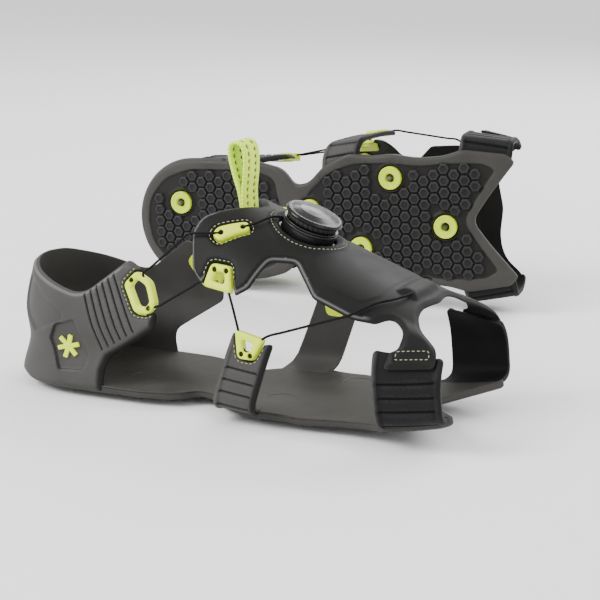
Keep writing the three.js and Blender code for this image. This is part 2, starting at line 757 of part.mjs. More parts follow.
const pair = new THREE.Group();
pair.add(rightCleat, leftCleat);
const extent = new THREE.Box3().setFromObject(pair, true);
pair.position.set(-(extent.min.x + extent.max.x) / 2, -(extent.min.y + extent.max.y) / 2, -extent.min.z);

export default pair;
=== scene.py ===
# %% [markdown]
# # A pair of shoe ice cleats
# The object is a moulded rubber cleat that is pulled over a shoe: a heel cup, four side straps and a
# hexagon-lugged tread with steel studs, drawn tight by a thin lace, six guides and a dial on an instep
# panel. The right cleat stands as it is worn and the left one lies on its side behind it. The CAD model
# gives the frame: every piece made here sits where a CAD node sits, and rides on that node's body.

# %% The frame
import json
import math

import bmesh
import bpy
import numpy as np
from mathutils import Euler, Matrix, Vector, geometry


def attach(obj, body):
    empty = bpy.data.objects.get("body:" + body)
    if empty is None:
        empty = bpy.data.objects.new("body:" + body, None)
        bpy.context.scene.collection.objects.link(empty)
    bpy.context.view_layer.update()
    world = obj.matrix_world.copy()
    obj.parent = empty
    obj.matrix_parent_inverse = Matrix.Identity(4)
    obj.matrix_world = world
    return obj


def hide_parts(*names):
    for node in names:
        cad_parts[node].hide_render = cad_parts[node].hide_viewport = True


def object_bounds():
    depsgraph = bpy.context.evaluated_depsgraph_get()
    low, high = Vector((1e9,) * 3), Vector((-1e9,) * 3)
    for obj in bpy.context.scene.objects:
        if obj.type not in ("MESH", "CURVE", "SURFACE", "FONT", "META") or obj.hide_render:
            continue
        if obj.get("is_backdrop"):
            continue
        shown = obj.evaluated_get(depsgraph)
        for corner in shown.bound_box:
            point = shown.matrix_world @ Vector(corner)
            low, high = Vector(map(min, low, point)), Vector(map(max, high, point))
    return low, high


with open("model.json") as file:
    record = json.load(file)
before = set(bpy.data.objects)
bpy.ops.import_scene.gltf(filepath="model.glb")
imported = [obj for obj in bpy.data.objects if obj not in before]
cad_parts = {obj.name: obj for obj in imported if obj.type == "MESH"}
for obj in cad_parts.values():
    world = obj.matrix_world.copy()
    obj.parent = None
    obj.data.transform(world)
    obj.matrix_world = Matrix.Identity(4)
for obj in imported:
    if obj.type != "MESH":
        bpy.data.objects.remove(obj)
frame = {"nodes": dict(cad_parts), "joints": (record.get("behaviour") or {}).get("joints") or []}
cad_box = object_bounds()
print("CAD box, metres:", [round(v, 4) for corner in cad_box for v in corner])

# %% [markdown]
# The camera stands low in front of the toes' left, about 0.9 m away, with a long lens, so the pair is
# drawn with little perspective. It is made first, because everything is judged through it.

# %% The camera
CAMERA_AT = Vector((0.4250, -0.8946, 0.2501))
CAMERA_AIM = Vector((0.0424, -0.1063, 0.0446))
CAMERA_ROLL = math.radians(0.3)
LENS_MM = 101.5

camera_data = bpy.data.cameras.new("camera")
camera_data.lens = LENS_MM
camera_data.sensor_width = 36
camera = bpy.data.objects.new("camera", camera_data)
bpy.context.scene.collection.objects.link(camera)
look = (CAMERA_AIM - CAMERA_AT).to_track_quat("-Z", "Y")
camera.rotation_mode = "QUATERNION"
camera.rotation_quaternion = look @ Euler((0, 0, CAMERA_ROLL)).to_quaternion()
camera.location = CAMERA_AT
bpy.context.scene.camera = camera
print("camera", round((CAMERA_AIM - CAMERA_AT).length, 3), "m from its aim")

# %% [markdown]
# The rubber parts are flat patterns wrapped on the shoe that they fit. So the first thing to make is that
# shoe's form, in millimetres: cross sections that are rounded squares (superellipses), with a height and
# a width read from smooth curves along the foot. Patterns are drawn for a left foot, x from the heel's
# back to the toe and the outer side positive.

# %% The form inside the cleat
MM = 0.001


def curve_through(stations):
    """A smooth function of x through [x, value] pairs, level with its ends outside them."""
    x, y = np.array(stations, float).T
    ends = np.r_[0, np.arange(len(x) - 1)], np.r_[np.arange(1, len(x)), len(x) - 1]
    slope = (y[ends[1]] - y[ends[0]]) / (x[ends[1]] - x[ends[0]])

    def value(wanted):
        at = np.clip(wanted, x[0], x[-1])
        k = np.clip(np.searchsorted(x, at, side="right") - 1, 0, len(x) - 2)
        span = x[k + 1] - x[k]
        t = (at - x[k]) / span
        rise = y[k] * (2 * t**3 - 3 * t**2 + 1) + y[k + 1] * (3 * t**2 - 2 * t**3)
        return rise + span * (slope[k] * (t**3 - 2 * t**2 + t) + slope[k + 1] * (t**3 - t**2))

    return value


ridge_height = curve_through(
    [[95, 114], [130, 101], [161, 88], [200, 72], [230, 61], [255, 52], [270, 45]]
)
half_width = curve_through(
    [[95, 42], [110, 43], [130, 46], [155, 50], [190, 52.5], [215, 51.5], [235, 49], [253, 46], [270, 41]]
)
bottom_height = curve_through([[150, 7.5], [185, 7.5], [222, 10.5], [253, 16], [275, 22]])
heel_offset = curve_through([[0, 0], [7.5, 0], [24, -4], [42, -2.5], [66, -7.5], [80, -10]])
HEEL_RADIUS = 38
BELT_HEIGHT = 28
UPPER_POWER = 2.3
LOWER_POWER = 7
SECTION_STEPS = 64


def half_sections(x):
    """For each x, the points from the instep ridge to the middle of the bottom, and their girths."""
    quarter = np.linspace(0, math.pi / 2, SECTION_STEPS + 1)
    cosine, sine = np.clip(np.cos(quarter), 0, 1), np.clip(np.sin(quarter), 0, 1)
    width = half_width(x)[:, None]
    above = (ridge_height(x) - BELT_HEIGHT)[:, None]
    below = (BELT_HEIGHT - bottom_height(x))[:, None]
    upper_y = width * sine ** (2 / UPPER_POWER)
    upper_z = BELT_HEIGHT + above * cosine ** (2 / UPPER_POWER)
    lower_y = width * cosine ** (2 / LOWER_POWER)
    lower_z = BELT_HEIGHT - below * sine ** (2 / LOWER_POWER)
    y = np.hstack([upper_y, lower_y[:, 1:]])
    z = np.hstack([upper_z, lower_z[:, 1:]])
    girth = np.cumsum(np.hypot(np.diff(y), np.diff(z)), axis=1)
    return y, z, np.hstack([np.zeros((len(x), 1)), girth])


def on_section(x, girth):
    """The point at each x that lies a signed girth away from the ridge."""
    y, z, along = half_sections(x)
    wanted = np.minimum(np.abs(girth), along[:, -1] - 1e-9)
    k = np.clip((along <= wanted[:, None]).sum(1) - 1, 0, along.shape[1] - 2)
    rows = np.arange(len(x))
    share = (wanted - along[rows, k]) / (along[rows, k + 1] - along[rows, k])
    side_y = y[rows, k] + share * (y[rows, k + 1] - y[rows, k])
    height = z[rows, k] + share * (z[rows, k + 1] - z[rows, k])
    return np.stack([x, np.sign(girth) * side_y, height], axis=1)


print("section at the ball:", np.round(half_sections(np.array([200.0]))[2][0, -1], 1), "mm round a half")

# %% [markdown]
# A surface turns a pattern point (u, v) into a place on the form, and `raised` lifts a point off it along
# the surface's own normal. There are four: the instep, the two sides that the straps climb, the heel and
# the bottom. Where the front tabs of the panel lie on top of the front straps, the surface climbs.

# %% Surfaces
WALL = 3.0
FIT_GAP = 0.3
PANEL_LIFT = 1.2
STRAP_ROOT = 10


def smooth(t):
    """0 below 0, 1 above 1, and a soft step between."""
    t = np.clip(t, 0, 1)
    return t * t * (3 - 2 * t)


TAB_START, TAB_GIRTH = 214, 30


def tab_climb(x, girth):
    """How much higher the panel's tabs lie, where they pass over the front straps."""
    over_strap = smooth((x - TAB_START) / 12) * smooth((np.abs(girth) - TAB_GIRTH) / 10)
    return (WALL + 2 * FIT_GAP - PANEL_LIFT) * over_strap


def heel_point(along, height):
    radius = HEEL_RADIUS + heel_offset(height)
    bend = np.minimum(np.abs(along) / HEEL_RADIUS, math.pi / 2)
    straight = np.maximum(np.abs(along) - HEEL_RADIUS * math.pi / 2, 0)
    y = np.sign(along) * radius * np.sin(bend)
    return np.stack([HEEL_RADIUS - radius * np.cos(bend) + straight, y, height], axis=1)


def strap_point(side):
    def point(x, rise):
        length = half_sections(x)[2][:, -1]
        return on_section(x, side * (length - half_width(x) + STRAP_ROOT - rise))
    return point


INSTEP = {"hand": 1, "point": on_section}
PANEL_FORM = {"hand": 1, "point": on_section, "climb": tab_climb}
BOTTOM = {"hand": -1, "point": lambda x, y: np.stack([x, y, bottom_height(x)], axis=1)}
HEEL = {"hand": -1, "point": heel_point}
STRAP = {side: {"hand": -side, "point": strap_point(side)} for side in (1, -1)}


def raised(surface, u, v, lift):
    """Points of a surface, lifted along its normal."""
    u, v, lift = (np.atleast_1d(np.asarray(a, float)) for a in np.broadcast_arrays(u, v, lift))
    point, step = surface["point"], 0.5
    along_u = point(u + step, v) - point(u - step, v)
    along_v = point(u, v + step) - point(u, v - step)
    normal = np.cross(along_u, along_v) * surface["hand"]
    normal /= np.linalg.norm(normal, axis=1)[:, None]
    if "climb" in surface:
        lift = lift + surface["climb"](u, v)
    return point(u, v) + normal * lift[:, None]


DIAL_STATION = 161
dial_foot = raised(INSTEP, DIAL_STATION, 0, 0)[0]
print("the dial stands at", np.round(dial_foot, 1))

# %% [markdown]
# Each cleat is made once, as the left one in its own frame, and then placed twice: the right cleat is its
# mirror image. Where they go is read from the CAD frame: the dial's hinge gives the point that the dial's
# foot has to land on. A mirrored mesh is inside out, so its faces are turned round again.

# %% Placing both cleats
hinges = {joint["name"]: Vector(joint["pos_m"]) for joint in frame["joints"] if "pos_m" in joint}
LYING = Euler((math.radians(-90), math.radians(-4), math.radians(2.6)))
turns = {"right": Matrix.Scale(-1, 3, (0, 1, 0)), "left": LYING.to_matrix()}
placements = {}
for cleat, turn in turns.items():
    foot = turn @ Vector(dial_foot * MM)
    placements[cleat] = Matrix.Translation(hinges[f"{cleat}_dial_turn"] - foot) @ turn.to_4x4()


def new_object(name, mesh):
    made = bpy.data.objects.new(name, mesh)
    bpy.context.scene.collection.objects.link(made)
    return made


def place(name, mesh, material, body="cleat", stands_for=()):
    """Puts a copy of a mesh, made in the cleat's own frame, on each cleat."""
    for cleat, matrix in placements.items():
        copy = mesh.copy()
        copy.name = f"{cleat}_{name}"
        copy.transform(matrix)
        if matrix.determinant() < 0:
            copy.flip_normals()
        copy.materials.clear()
        copy.materials.append(material)
        made = new_object(f"{cleat}_{name}", copy)
        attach(made, f"{cleat}_{body}")
        if stands_for:
            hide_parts(*[f"{cleat}_{node}" for node in stands_for])
    triangles = sum(len(face.vertices) - 2 for face in mesh.polygons)
    bpy.data.meshes.remove(mesh)
    print(f"{name}: {triangles} triangles on each cleat")


for cleat, matrix in placements.items():
    print(cleat, "cleat's origin at", [round(v, 4) for v in matrix.translation])

# %% [markdown]
# A pattern piece starts as a short list of corners [x, y, radius]. They are rounded, and the line is then
# walked in short steps, so an outline can be changed by moving one corner.

# %% Outlines
SOFT_CORNER = 0.9


def outline(corners, step=0.9, corner_radius=SOFT_CORNER):
    """A closed line round rounded corners, always anticlockwise."""
    corners = [list(corner) for corner in corners]
    flat = np.array([corner[:2] for corner in corners])
    nxt = np.roll(flat, -1, axis=0)
    if np.sum(flat[:, 0] * nxt[:, 1] - nxt[:, 0] * flat[:, 1]) < 0:
        corners.reverse()
    rounded = []
    for i, corner in enumerate(corners):
        here = np.array(corner[:2])
        before = np.array(corners[i - 1][:2])
        after = np.array(corners[(i + 1) % len(corners)][:2])
        radius = corner[2] if len(corner) > 2 else corner_radius
        lengths = np.linalg.norm(before - here), np.linalg.norm(after - here)
        reach = min(radius, 0.45 * lengths[0], 0.45 * lengths[1])
        start = here + (before - here) / lengths[0] * reach
        end = here + (after - here) / lengths[1] * reach
        count = max(3, int(reach / 0.5))
        for t in np.linspace(0, 1, count + 1):
            rounded.append((1 - t) ** 2 * start + 2 * t * (1 - t) * here + t**2 * end)
    return walked(np.array(rounded), step, closed=True)


def walked(points, step, closed=False):
    """The same line with more points, none further apart than a step."""
    ends = np.vstack([points, points[:1]]) if closed else points
    dense = []
    for a, b in zip(ends[:-1], ends[1:]):
        parts = max(1, math.ceil(np.linalg.norm(b - a) / step))
        dense += [a + (b - a) * k / parts for k in range(parts)]
    if not closed:
        dense.append(ends[-1])
    return np.array(dense)


def both_halves(half, coordinate):
    """A half outline and its mirror image across coordinate 0 or 1."""
    mirrored = [list(corner) for corner in reversed(half) if corner[coordinate] != 0]
    for corner in mirrored:
        corner[coordinate] *= -1
    return [list(corner) for corner in half] + mirrored


def grown(corners, distance):
    """The corners of an outline moved outwards, or inwards by a negative distance."""
    flat = np.array([corner[:2] for corner in corners], float)
    into = flat - np.roll(flat, 1, axis=0)
    out = np.roll(flat, -1, axis=0) - flat
    into /= np.linalg.norm(into, axis=1)[:, None]
    out /= np.linalg.norm(out, axis=1)[:, None]
    nxt = np.roll(flat, -1, axis=0)
    turn = np.sign(np.sum(flat[:, 0] * nxt[:, 1] - nxt[:, 0] * flat[:, 1]))
    side = np.stack([into[:, 1] + out[:, 1], -into[:, 0] - out[:, 0]], axis=1)
    side /= np.linalg.norm(side, axis=1)[:, None]
    stretch = np.minimum(1 / np.abs(side[:, 0] * out[:, 1] - side[:, 1] * out[:, 0]), 2)
    moved = flat + side * (turn * distance * stretch)[:, None]
    return [[*point, *corner[2:]] for point, corner in zip(moved, corners)]


square = outline([[0, 0], [10, 0], [10, 10], [0, 10]])
print("outline test: a 10 mm square has", len(square), "points")

# %% [markdown]
# Distances to an outline drive nearly everything that follows: the bevel along an edge, a pocket's slope,
# a groove's section. They are worked out for many points at once, in parts, to keep the memory small.

# %% Distances
PART = 2000


def distance_to(line, points, closed=True):
    """Each point's distance to a line."""
    a, b = (line, np.roll(line, -1, axis=0)) if closed else (line[:-1], line[1:])
    ab = b - a
    square = np.maximum((ab**2).sum(1), 1e-12)
    nearest = np.empty(len(points))
    for start in range(0, len(points), PART):
        part = points[start:start + PART, None] - a[None]
        t = np.clip((part * ab).sum(2) / square, 0, 1)
        nearest[start:start + PART] = np.sqrt((((part - t[..., None] * ab) ** 2).sum(2)).min(1))
    return nearest


def inside(loop, points):
    """Which points lie inside a loop, by counting the sides that a ray crosses."""
    a, b = loop, np.roll(loop, -1, axis=0)
    held = np.zeros(len(points), bool)
    for start in range(0, len(points), PART):
        x, y = points[start:start + PART, 0, None], points[start:start + PART, 1, None]
        crosses = (a[:, 1] > y) != (b[:, 1] > y)
        rise = np.where(b[:, 1] == a[:, 1], 1e-12, b[:, 1] - a[:, 1])
        at = a[:, 0] + (y - a[:, 1]) / rise * (b[:, 0] - a[:, 0])
        held[start:start + PART] = (crosses & (x < at)).sum(1) % 2 == 1
    return held


def depth_in(loop, points):
    """Distance inside a loop, negative outside it."""
    return distance_to(loop, points) * np.where(inside(loop, points), 1, -1)


print("its middle is", np.round(depth_in(square, np.array([[5.0, 5.0]])), 1), "mm deep")

# %% [markdown]
# A groove is only sharp where the mesh has points along it. These helpers give lines of points beside a
# line or inside a loop, and the drop of an edge that is rounded over.

# %% Lines for features
def ring_inside(loop, distance):
    """The loop moved inwards by a distance."""
    ahead = np.roll(loop, -1, axis=0) - np.roll(loop, 1, axis=0)
    ahead /= np.linalg.norm(ahead, axis=1)[:, None]
    return loop + np.stack([-ahead[:, 1], ahead[:, 0]], axis=1) * distance


def beside(line, offsets, closed=False, step=0.9):
    """Points along a line and at offsets to both sides of it."""
    line = walked(np.array(line, float), step, closed)
    ahead = np.gradient(line, axis=0)
    ahead /= np.linalg.norm(ahead, axis=1)[:, None]
    across = np.stack([-ahead[:, 1], ahead[:, 0]], axis=1)
    return np.vstack([line + across * offset for offset in offsets])


def rounded_over(d, radius):
    """How far a rounded edge has dropped at a distance from its side."""
    return radius - np.sqrt(np.maximum(radius**2 - np.maximum(radius - d, 0) ** 2, 0))


print("a 1 mm rounding drops", round(float(rounded_over(0.5, 1)), 2), "mm half way in")

# %% [markdown]
# Points in millimetres become a mesh here, with its faces outwards and an optional "shade" on each point:
# 1 where the painted shade is darkest, down in a groove, and below 0 for a painted highlight on a pale edge.
# The materials read it, so painted shade and painted highlights sit exactly where the shape asks for them.

# %% Meshes from points
def solid_mesh(name, points_mm, faces, uv=None, shade=None):
    mesh = bpy.data.meshes.new(name)
    mesh.from_pydata((np.asarray(points_mm) * MM).tolist(), [], [list(face) for face in faces])
    if shade is not None:
        layer = mesh.attributes.new("shade", "FLOAT", "POINT")
        layer.data.foreach_set("value", np.asarray(shade, np.float32))
    if uv is not None:
        layer = mesh.uv_layers.new(name="weave")
        corners = np.empty(len(mesh.loops), int)
        mesh.loops.foreach_get("vertex_index", corners)
        layer.data.foreach_set("uv", np.asarray(uv, float)[corners].astype(np.float32).ravel())
    mesh.polygons.foreach_set("use_smooth", [True] * len(mesh.polygons))
    mesh.update()
    if signed_volume(mesh) < 0:
        mesh.flip_normals()
    return mesh


def signed_volume(mesh):
    """Negative when a closed mesh is inside out."""
    mesh.calc_loop_triangles()
    corners = np.empty(len(mesh.loop_triangles) * 3, int)
    mesh.loop_triangles.foreach_get("vertices", corners)
    points = np.empty(len(mesh.vertices) * 3)
    mesh.vertices.foreach_get("co", points)
    a, b, c = points.reshape(-1, 3)[corners.reshape(-1, 3)].transpose(1, 0, 2)
    return np.einsum("ij,ij->i", a, np.cross(b, c)).sum() / 6


def merged(name, *meshes):
    """Several meshes as one."""
    points, faces, shade = [], [], []
    for mesh in meshes:
        start = len(points)
        points += [tuple(v.co / MM) for v in mesh.vertices]
        faces += [[start + i for i in face.vertices] for face in mesh.polygons]
        layer = mesh.attributes.get("shade")
        shade += [item.value for item in layer.data] if layer else [0] * len(mesh.vertices)
        bpy.data.meshes.remove(mesh)
    return solid_mesh(name, points, faces, None, shade)


corner_test = [(x, y, z) for x in (0, 1) for y in (0, 1) for z in (0, 1)]
cube_faces = [(0, 1, 3, 2), (4, 6, 7, 5), (0, 4, 5, 1), (2, 3, 7, 6), (0, 2, 6, 4), (1, 5, 7, 3)]
cube = solid_mesh("mesh_test", corner_test, cube_faces)
print("mesh test: a 1 mm cube holds", round(signed_volume(cube) / MM**3, 3), "mm3")
bpy.data.meshes.remove(cube)

# %% [markdown]
# `sheet` makes one wrapped moulding. The outline, rings of points just inside it, the lines of its
# features and an even grid are joined by a constrained Delaunay triangulation, which keeps the outline's
# edges. Every point then gets an outer height from a small function, so grooves, rims and pockets are real
# geometry, and the two skins are closed by a wall all round.

# %% Wrapped mouldings
EDGE_RADIUS = 0.5
FIRST_RING = 0.12
LINING_RADIUS = 0.3
ROW_HEIGHT = 0.87


def pattern_points(loops, lines, rings, edge, grid):
    """The points of a pattern, and the edges that its triangles have to keep."""
    loop, cuts = loops[0], loops[1:]
    low, high = loop.min(0), loop.max(0)
    xs = np.arange(low[0], high[0] + grid, grid * ROW_HEIGHT)
    ys = np.arange(low[1], high[1] + grid, grid)
    field = np.array([[x, y + (i % 2) * grid / 2] for i, x in enumerate(xs) for y in ys])
    extra = [(field, rings[-1] + grid * 0.4)]
    extra += [(np.vstack(lines), edge * 0.5)] if len(lines) else []
    for distance in rings:
        extra.append((ring_inside(loop, distance), distance - 0.02))
        extra += [(ring_inside(cut, -distance), distance - 0.02) for cut in cuts]
    points, edges = [], []
    for closed in loops:
        start = sum(len(p) for p in points)
        points.append(closed)
        edges += [(start + i, start + (i + 1) % len(closed)) for i in range(len(closed))]
    for candidates, clearance in extra:
        kept = candidates[inside(loop, candidates)]
        for cut in cuts:
            kept = kept[~inside(cut, kept)]
        if len(kept):
            far = np.min([distance_to(closed, kept) for closed in loops], axis=0)
            points.append(np.unique(np.round(kept[far >= clearance], 2), axis=0))
    return np.vstack(points), edges


def pattern_mesh(loops, points, edges):
    """The triangles of a pattern, without those outside it or in its cuts."""
    flat = [Vector(p) for p in points]
    verts, _, faces, *_ = geometry.delaunay_2d_cdt(flat, edges, [], 0, 1e-4, True)
    flat, faces = np.array([v[:] for v in verts]), np.array(faces)
    middle = flat[faces].mean(1)
    keep = inside(loops[0], middle)
    for cut in loops[1:]:
        keep &= ~inside(cut, middle)
    used, faces = np.unique(faces[keep], return_inverse=True)
    return flat[used], faces.reshape(-1, 3)


def sheet(name, loop, surface, bottom, top, bevel=(0, 0), cuts=(), grid=1.3, lines=(),
          edge=EDGE_RADIUS, shade=None):
    """top is a height in mm, or a function of the pattern points and their distance from the edge. shade
    is such a function too: painted shade above 0, a painted highlight below 0."""
    loops = [loop, *cuts]
    shares = (0.5, 0.8, 1) if bevel[0] else ()
    rings = sorted({FIRST_RING, edge * 0.5, edge, *(bevel[0] * share for share in shares)})
    flat, faces = pattern_mesh(loops, *pattern_points(loops, lines, rings, edge, grid))
    d = np.min([distance_to(closed, flat) for closed in loops], axis=0)
    outer = top(flat, d) if callable(top) else np.full(len(flat), float(top))
    drop = rounded_over(d, edge) + (bevel[1] * np.clip(1 - d / bevel[0], 0, 1) if bevel[0] else 0)
    skin = raised(surface, flat[:, 0], flat[:, 1], outer - drop)
    lining = raised(surface, flat[:, 0], flat[:, 1], bottom + rounded_over(d, LINING_RADIUS))
    sides = np.vstack([faces[:, [0, 1]], faces[:, [1, 2]], faces[:, [2, 0]]])
    n = len(flat)
    one_way = set(map(tuple, sides.tolist()))
    rim = [(a, b) for a, b in one_way if (b, a) not in one_way]
    walls = [(a, a + n, b + n, b) for a, b in rim]
    darkness = np.r_[shade(flat, d) if shade else np.zeros(n), np.zeros(n)]
    all_faces = [*faces, *(faces[:, ::-1] + n), *walls]
    return solid_mesh(name, np.vstack([skin, lining]), all_faces, None, darkness)


test_sheet = sheet("sheet_test", square, INSTEP, 0, WALL)
print("sheet test: a 10 mm square wall has", len(test_sheet.polygons), "faces")
bpy.data.meshes.remove(test_sheet)

# %% [markdown]
# Materials. The rubber has a fine moulded grain and slow blotches of lighter and darker compound, and its
# worn edges are a little paler. Those three effects are node groups, placed in each material with its own
# numbers. Everything reads Object coordinates, so nothing slides when the camera moves. The grain comes
# first: fine noise mixed with round pits.

# %% The moulded grain
COLOUR_A, COLOUR_B, COLOUR_OUT = 6, 7, 2


def colour_mix(nodes):
    """A Mix node set to colours. Its colour sockets are only told apart by their numbers."""
    node = nodes.new("ShaderNodeMix")
    node.data_type = "RGBA"
    return node


def math_node(nodes, operation):
    node = nodes.new("ShaderNodeMath")
    node.operation = operation
    return node


def group_with(name, inputs, outputs):
    """A shader node group with named inputs and outputs."""
    tree = bpy.data.node_groups.new(name, "ShaderNodeTree")
    for label, kind, value in inputs:
        socket = tree.interface.new_socket(label, in_out="INPUT", socket_type=kind)
        socket.default_value = value
    for label, kind in outputs:
        tree.interface.new_socket(label, in_out="OUTPUT", socket_type=kind)
    return tree, tree.nodes.new("NodeGroupInput"), tree.nodes.new("NodeGroupOutput")


def moulded_grain():
    tree, given, result = group_with(
        "moulded_grain",
        [("Scale", "NodeSocketFloat", 1500), ("Pits", "NodeSocketFloat", 0.4)],
        [("Height", "NodeSocketFloat")],
    )
    where = tree.nodes.new("ShaderNodeTexCoord")
    fine = tree.nodes.new("ShaderNodeTexNoise")
    fine.inputs["Detail"].default_value = 3
    cells = tree.nodes.new("ShaderNodeTexVoronoi")
    share = tree.nodes.new("ShaderNodeMix")
    for texture in (fine, cells):
        tree.links.new(where.outputs["Object"], texture.inputs["Vector"])
        tree.links.new(given.outputs["Scale"], texture.inputs["Scale"])
    tree.links.new(given.outputs["Pits"], share.inputs["Factor"])
    tree.links.new(fine.outputs["Fac"], share.inputs["A"])
    tree.links.new(cells.outputs["Distance"], share.inputs["B"])
    tree.links.new(share.outputs["Result"], result.inputs["Height"])
    return tree


GRAIN = moulded_grain()
print("grain:", len(GRAIN.nodes), "nodes")

# %% [markdown]
# Rubber is never one even black. A slow noise, stretched so that it reaches both ends, mixes a darker and
# a lighter compound, and its mask also drives the gloss.

# %% Blotches
def blotches():
    tree, given, result = group_with(
        "blotches",
        [("Scale", "NodeSocketFloat", 40), ("Dark", "NodeSocketColor", (0.05, 0.05, 0.05, 1)),
         ("Light", "NodeSocketColor", (0.1, 0.1, 0.1, 1))],
        [("Color", "NodeSocketColor"), ("Mask", "NodeSocketFloat")],
    )
    where = tree.nodes.new("ShaderNodeTexCoord")
    slow = tree.nodes.new("ShaderNodeTexNoise")
    slow.inputs["Detail"].default_value = 4
    slow.inputs["Roughness"].default_value = 0.6
    spread = tree.nodes.new("ShaderNodeMapRange")
    spread.inputs["From Min"].default_value = 0.35
    spread.inputs["From Max"].default_value = 0.65
    mix = colour_mix(tree.nodes)
    tree.links.new(where.outputs["Object"], slow.inputs["Vector"])
    tree.links.new(given.outputs["Scale"], slow.inputs["Scale"])
    tree.links.new(slow.outputs["Fac"], spread.inputs["Value"])
    tree.links.new(spread.outputs["Result"], mix.inputs["Factor"])
    tree.links.new(given.outputs["Dark"], mix.inputs[COLOUR_A])
    tree.links.new(given.outputs["Light"], mix.inputs[COLOUR_B])
    tree.links.new(mix.outputs[COLOUR_OUT], result.inputs["Color"])
    tree.links.new(spread.outputs["Result"], result.inputs["Mask"])
    return tree


BLOTCHES = blotches()
print("blotches:", len(BLOTCHES.nodes), "nodes")

# %% [markdown]
# Corners that rub on snow and gravel go pale. Pointiness is high where the surface turns sharply
# outwards, so it picks those corners out.

# %% Worn edges
def worn_edges():
    tree, given, result = group_with(
        "worn_edges",
        [("Color", "NodeSocketColor", (0.1, 0.1, 0.1, 1)), ("Worn", "NodeSocketColor", (0.3, 0.3, 0.3, 1)),
         ("Amount", "NodeSocketFloat", 0.5)],
        [("Color", "NodeSocketColor")],
    )
    shape = tree.nodes.new("ShaderNodeNewGeometry")
    sharp = tree.nodes.new("ShaderNodeMapRange")
    sharp.inputs["From Min"].default_value = 0.52
    sharp.inputs["From Max"].default_value = 0.62
    part = math_node(tree.nodes, "MULTIPLY")
    mix = colour_mix(tree.nodes)
    tree.links.new(shape.outputs["Pointiness"], sharp.inputs["Value"])
    tree.links.new(sharp.outputs["Result"], part.inputs[0])
    tree.links.new(given.outputs["Amount"], part.inputs[1])
    tree.links.new(part.outputs["Value"], mix.inputs["Factor"])
    tree.links.new(given.outputs["Color"], mix.inputs[COLOUR_A])
    tree.links.new(given.outputs["Worn"], mix.inputs[COLOUR_B])
    tree.links.new(mix.outputs[COLOUR_OUT], result.inputs["Color"])
    return tree


WORN = worn_edges()
print("worn edges:", len(WORN.nodes), "nodes")

# %% [markdown]
# `moulded` puts the three effects together on a Principled shader, and lays the mesh's own painted shade
# over them: nearly black down in a groove, and a painted highlight in the worn colour on a pale edge.

# %% A moulded finish
# The colour of painted shade, in grooves and along dark rims.
PAINTED_SHADE_BLACK = (0.003, 0.003, 0.003, 1)


def placed(material, tree, **values):
    """A shared effect placed in a material, with its own values."""
    node = material.node_tree.nodes.new("ShaderNodeGroup")
    node.node_tree = tree
    for label, value in values.items():
        node.inputs[label].default_value = value
    return node


def moulded(name, dark, light, worn_and_highlight, rough, grain=1500, pits=0.3, relief=0.04, wear=0.35, blotch=40,
            metal=0.0, specular=0.5):
    """A finish between two colours; rough is its least and its most roughness, relief is in mm."""
    material = bpy.data.materials.new(name)
    material.use_nodes = True
    nodes, link = material.node_tree.nodes, material.node_tree.links.new
    shader = nodes["Principled BSDF"]
    colour = placed(material, BLOTCHES, Scale=blotch, Dark=(*dark, 1), Light=(*light, 1))
    edges = placed(material, WORN, Worn=(*worn_and_highlight, 1), Amount=wear)
    # The mesh's shade attribute paints shade towards near black above 0, and a painted highlight in the worn
    # colour below 0.
    depth = nodes.new("ShaderNodeAttribute")
    depth.attribute_name = "shade"
    darker = colour_mix(nodes)
    darker.inputs[COLOUR_B].default_value = PAINTED_SHADE_BLACK
    above = math_node(nodes, "MULTIPLY")
    above.inputs[1].default_value = -1
    above.use_clamp = True
    lighter = colour_mix(nodes)
    lighter.inputs[COLOUR_B].default_value = (*worn_and_highlight, 1)
    surface = placed(material, GRAIN, Scale=grain, Pits=pits)
    gloss = nodes.new("ShaderNodeMapRange")
    gloss.inputs["To Min"].default_value = rough[0]
    gloss.inputs["To Max"].default_value = rough[1]
    bump = nodes.new("ShaderNodeBump")
    bump.inputs["Strength"].default_value = 0.5
    bump.inputs["Distance"].default_value = relief * MM
    link(colour.outputs["Color"], edges.inputs["Color"])
    link(depth.outputs["Fac"], darker.inputs["Factor"])
    link(depth.outputs["Fac"], above.inputs[0])
    link(above.outputs[0], lighter.inputs["Factor"])
    link(edges.outputs["Color"], lighter.inputs[COLOUR_A])
    link(lighter.outputs[COLOUR_OUT], darker.inputs[COLOUR_A])
    link(darker.outputs[COLOUR_OUT], shader.inputs["Base Color"])
    link(colour.outputs["Mask"], gloss.inputs["Value"])
    link(gloss.outputs["Result"], shader.inputs["Roughness"])
    link(surface.outputs["Height"], bump.inputs["Height"])
    link(bump.outputs["Normal"], shader.inputs["Normal"])
    shader.inputs["Metallic"].default_value = metal
    shader.inputs["Specular IOR Level"].default_value = specular
    return material


def grey(value, warm=0.0):
    """A grey with a share more red and less blue."""
    return (value * (1 + warm), value, value * (1 - 1.5 * warm))


print("a warm grey:", np.round(grey(0.04, 0.06), 4))
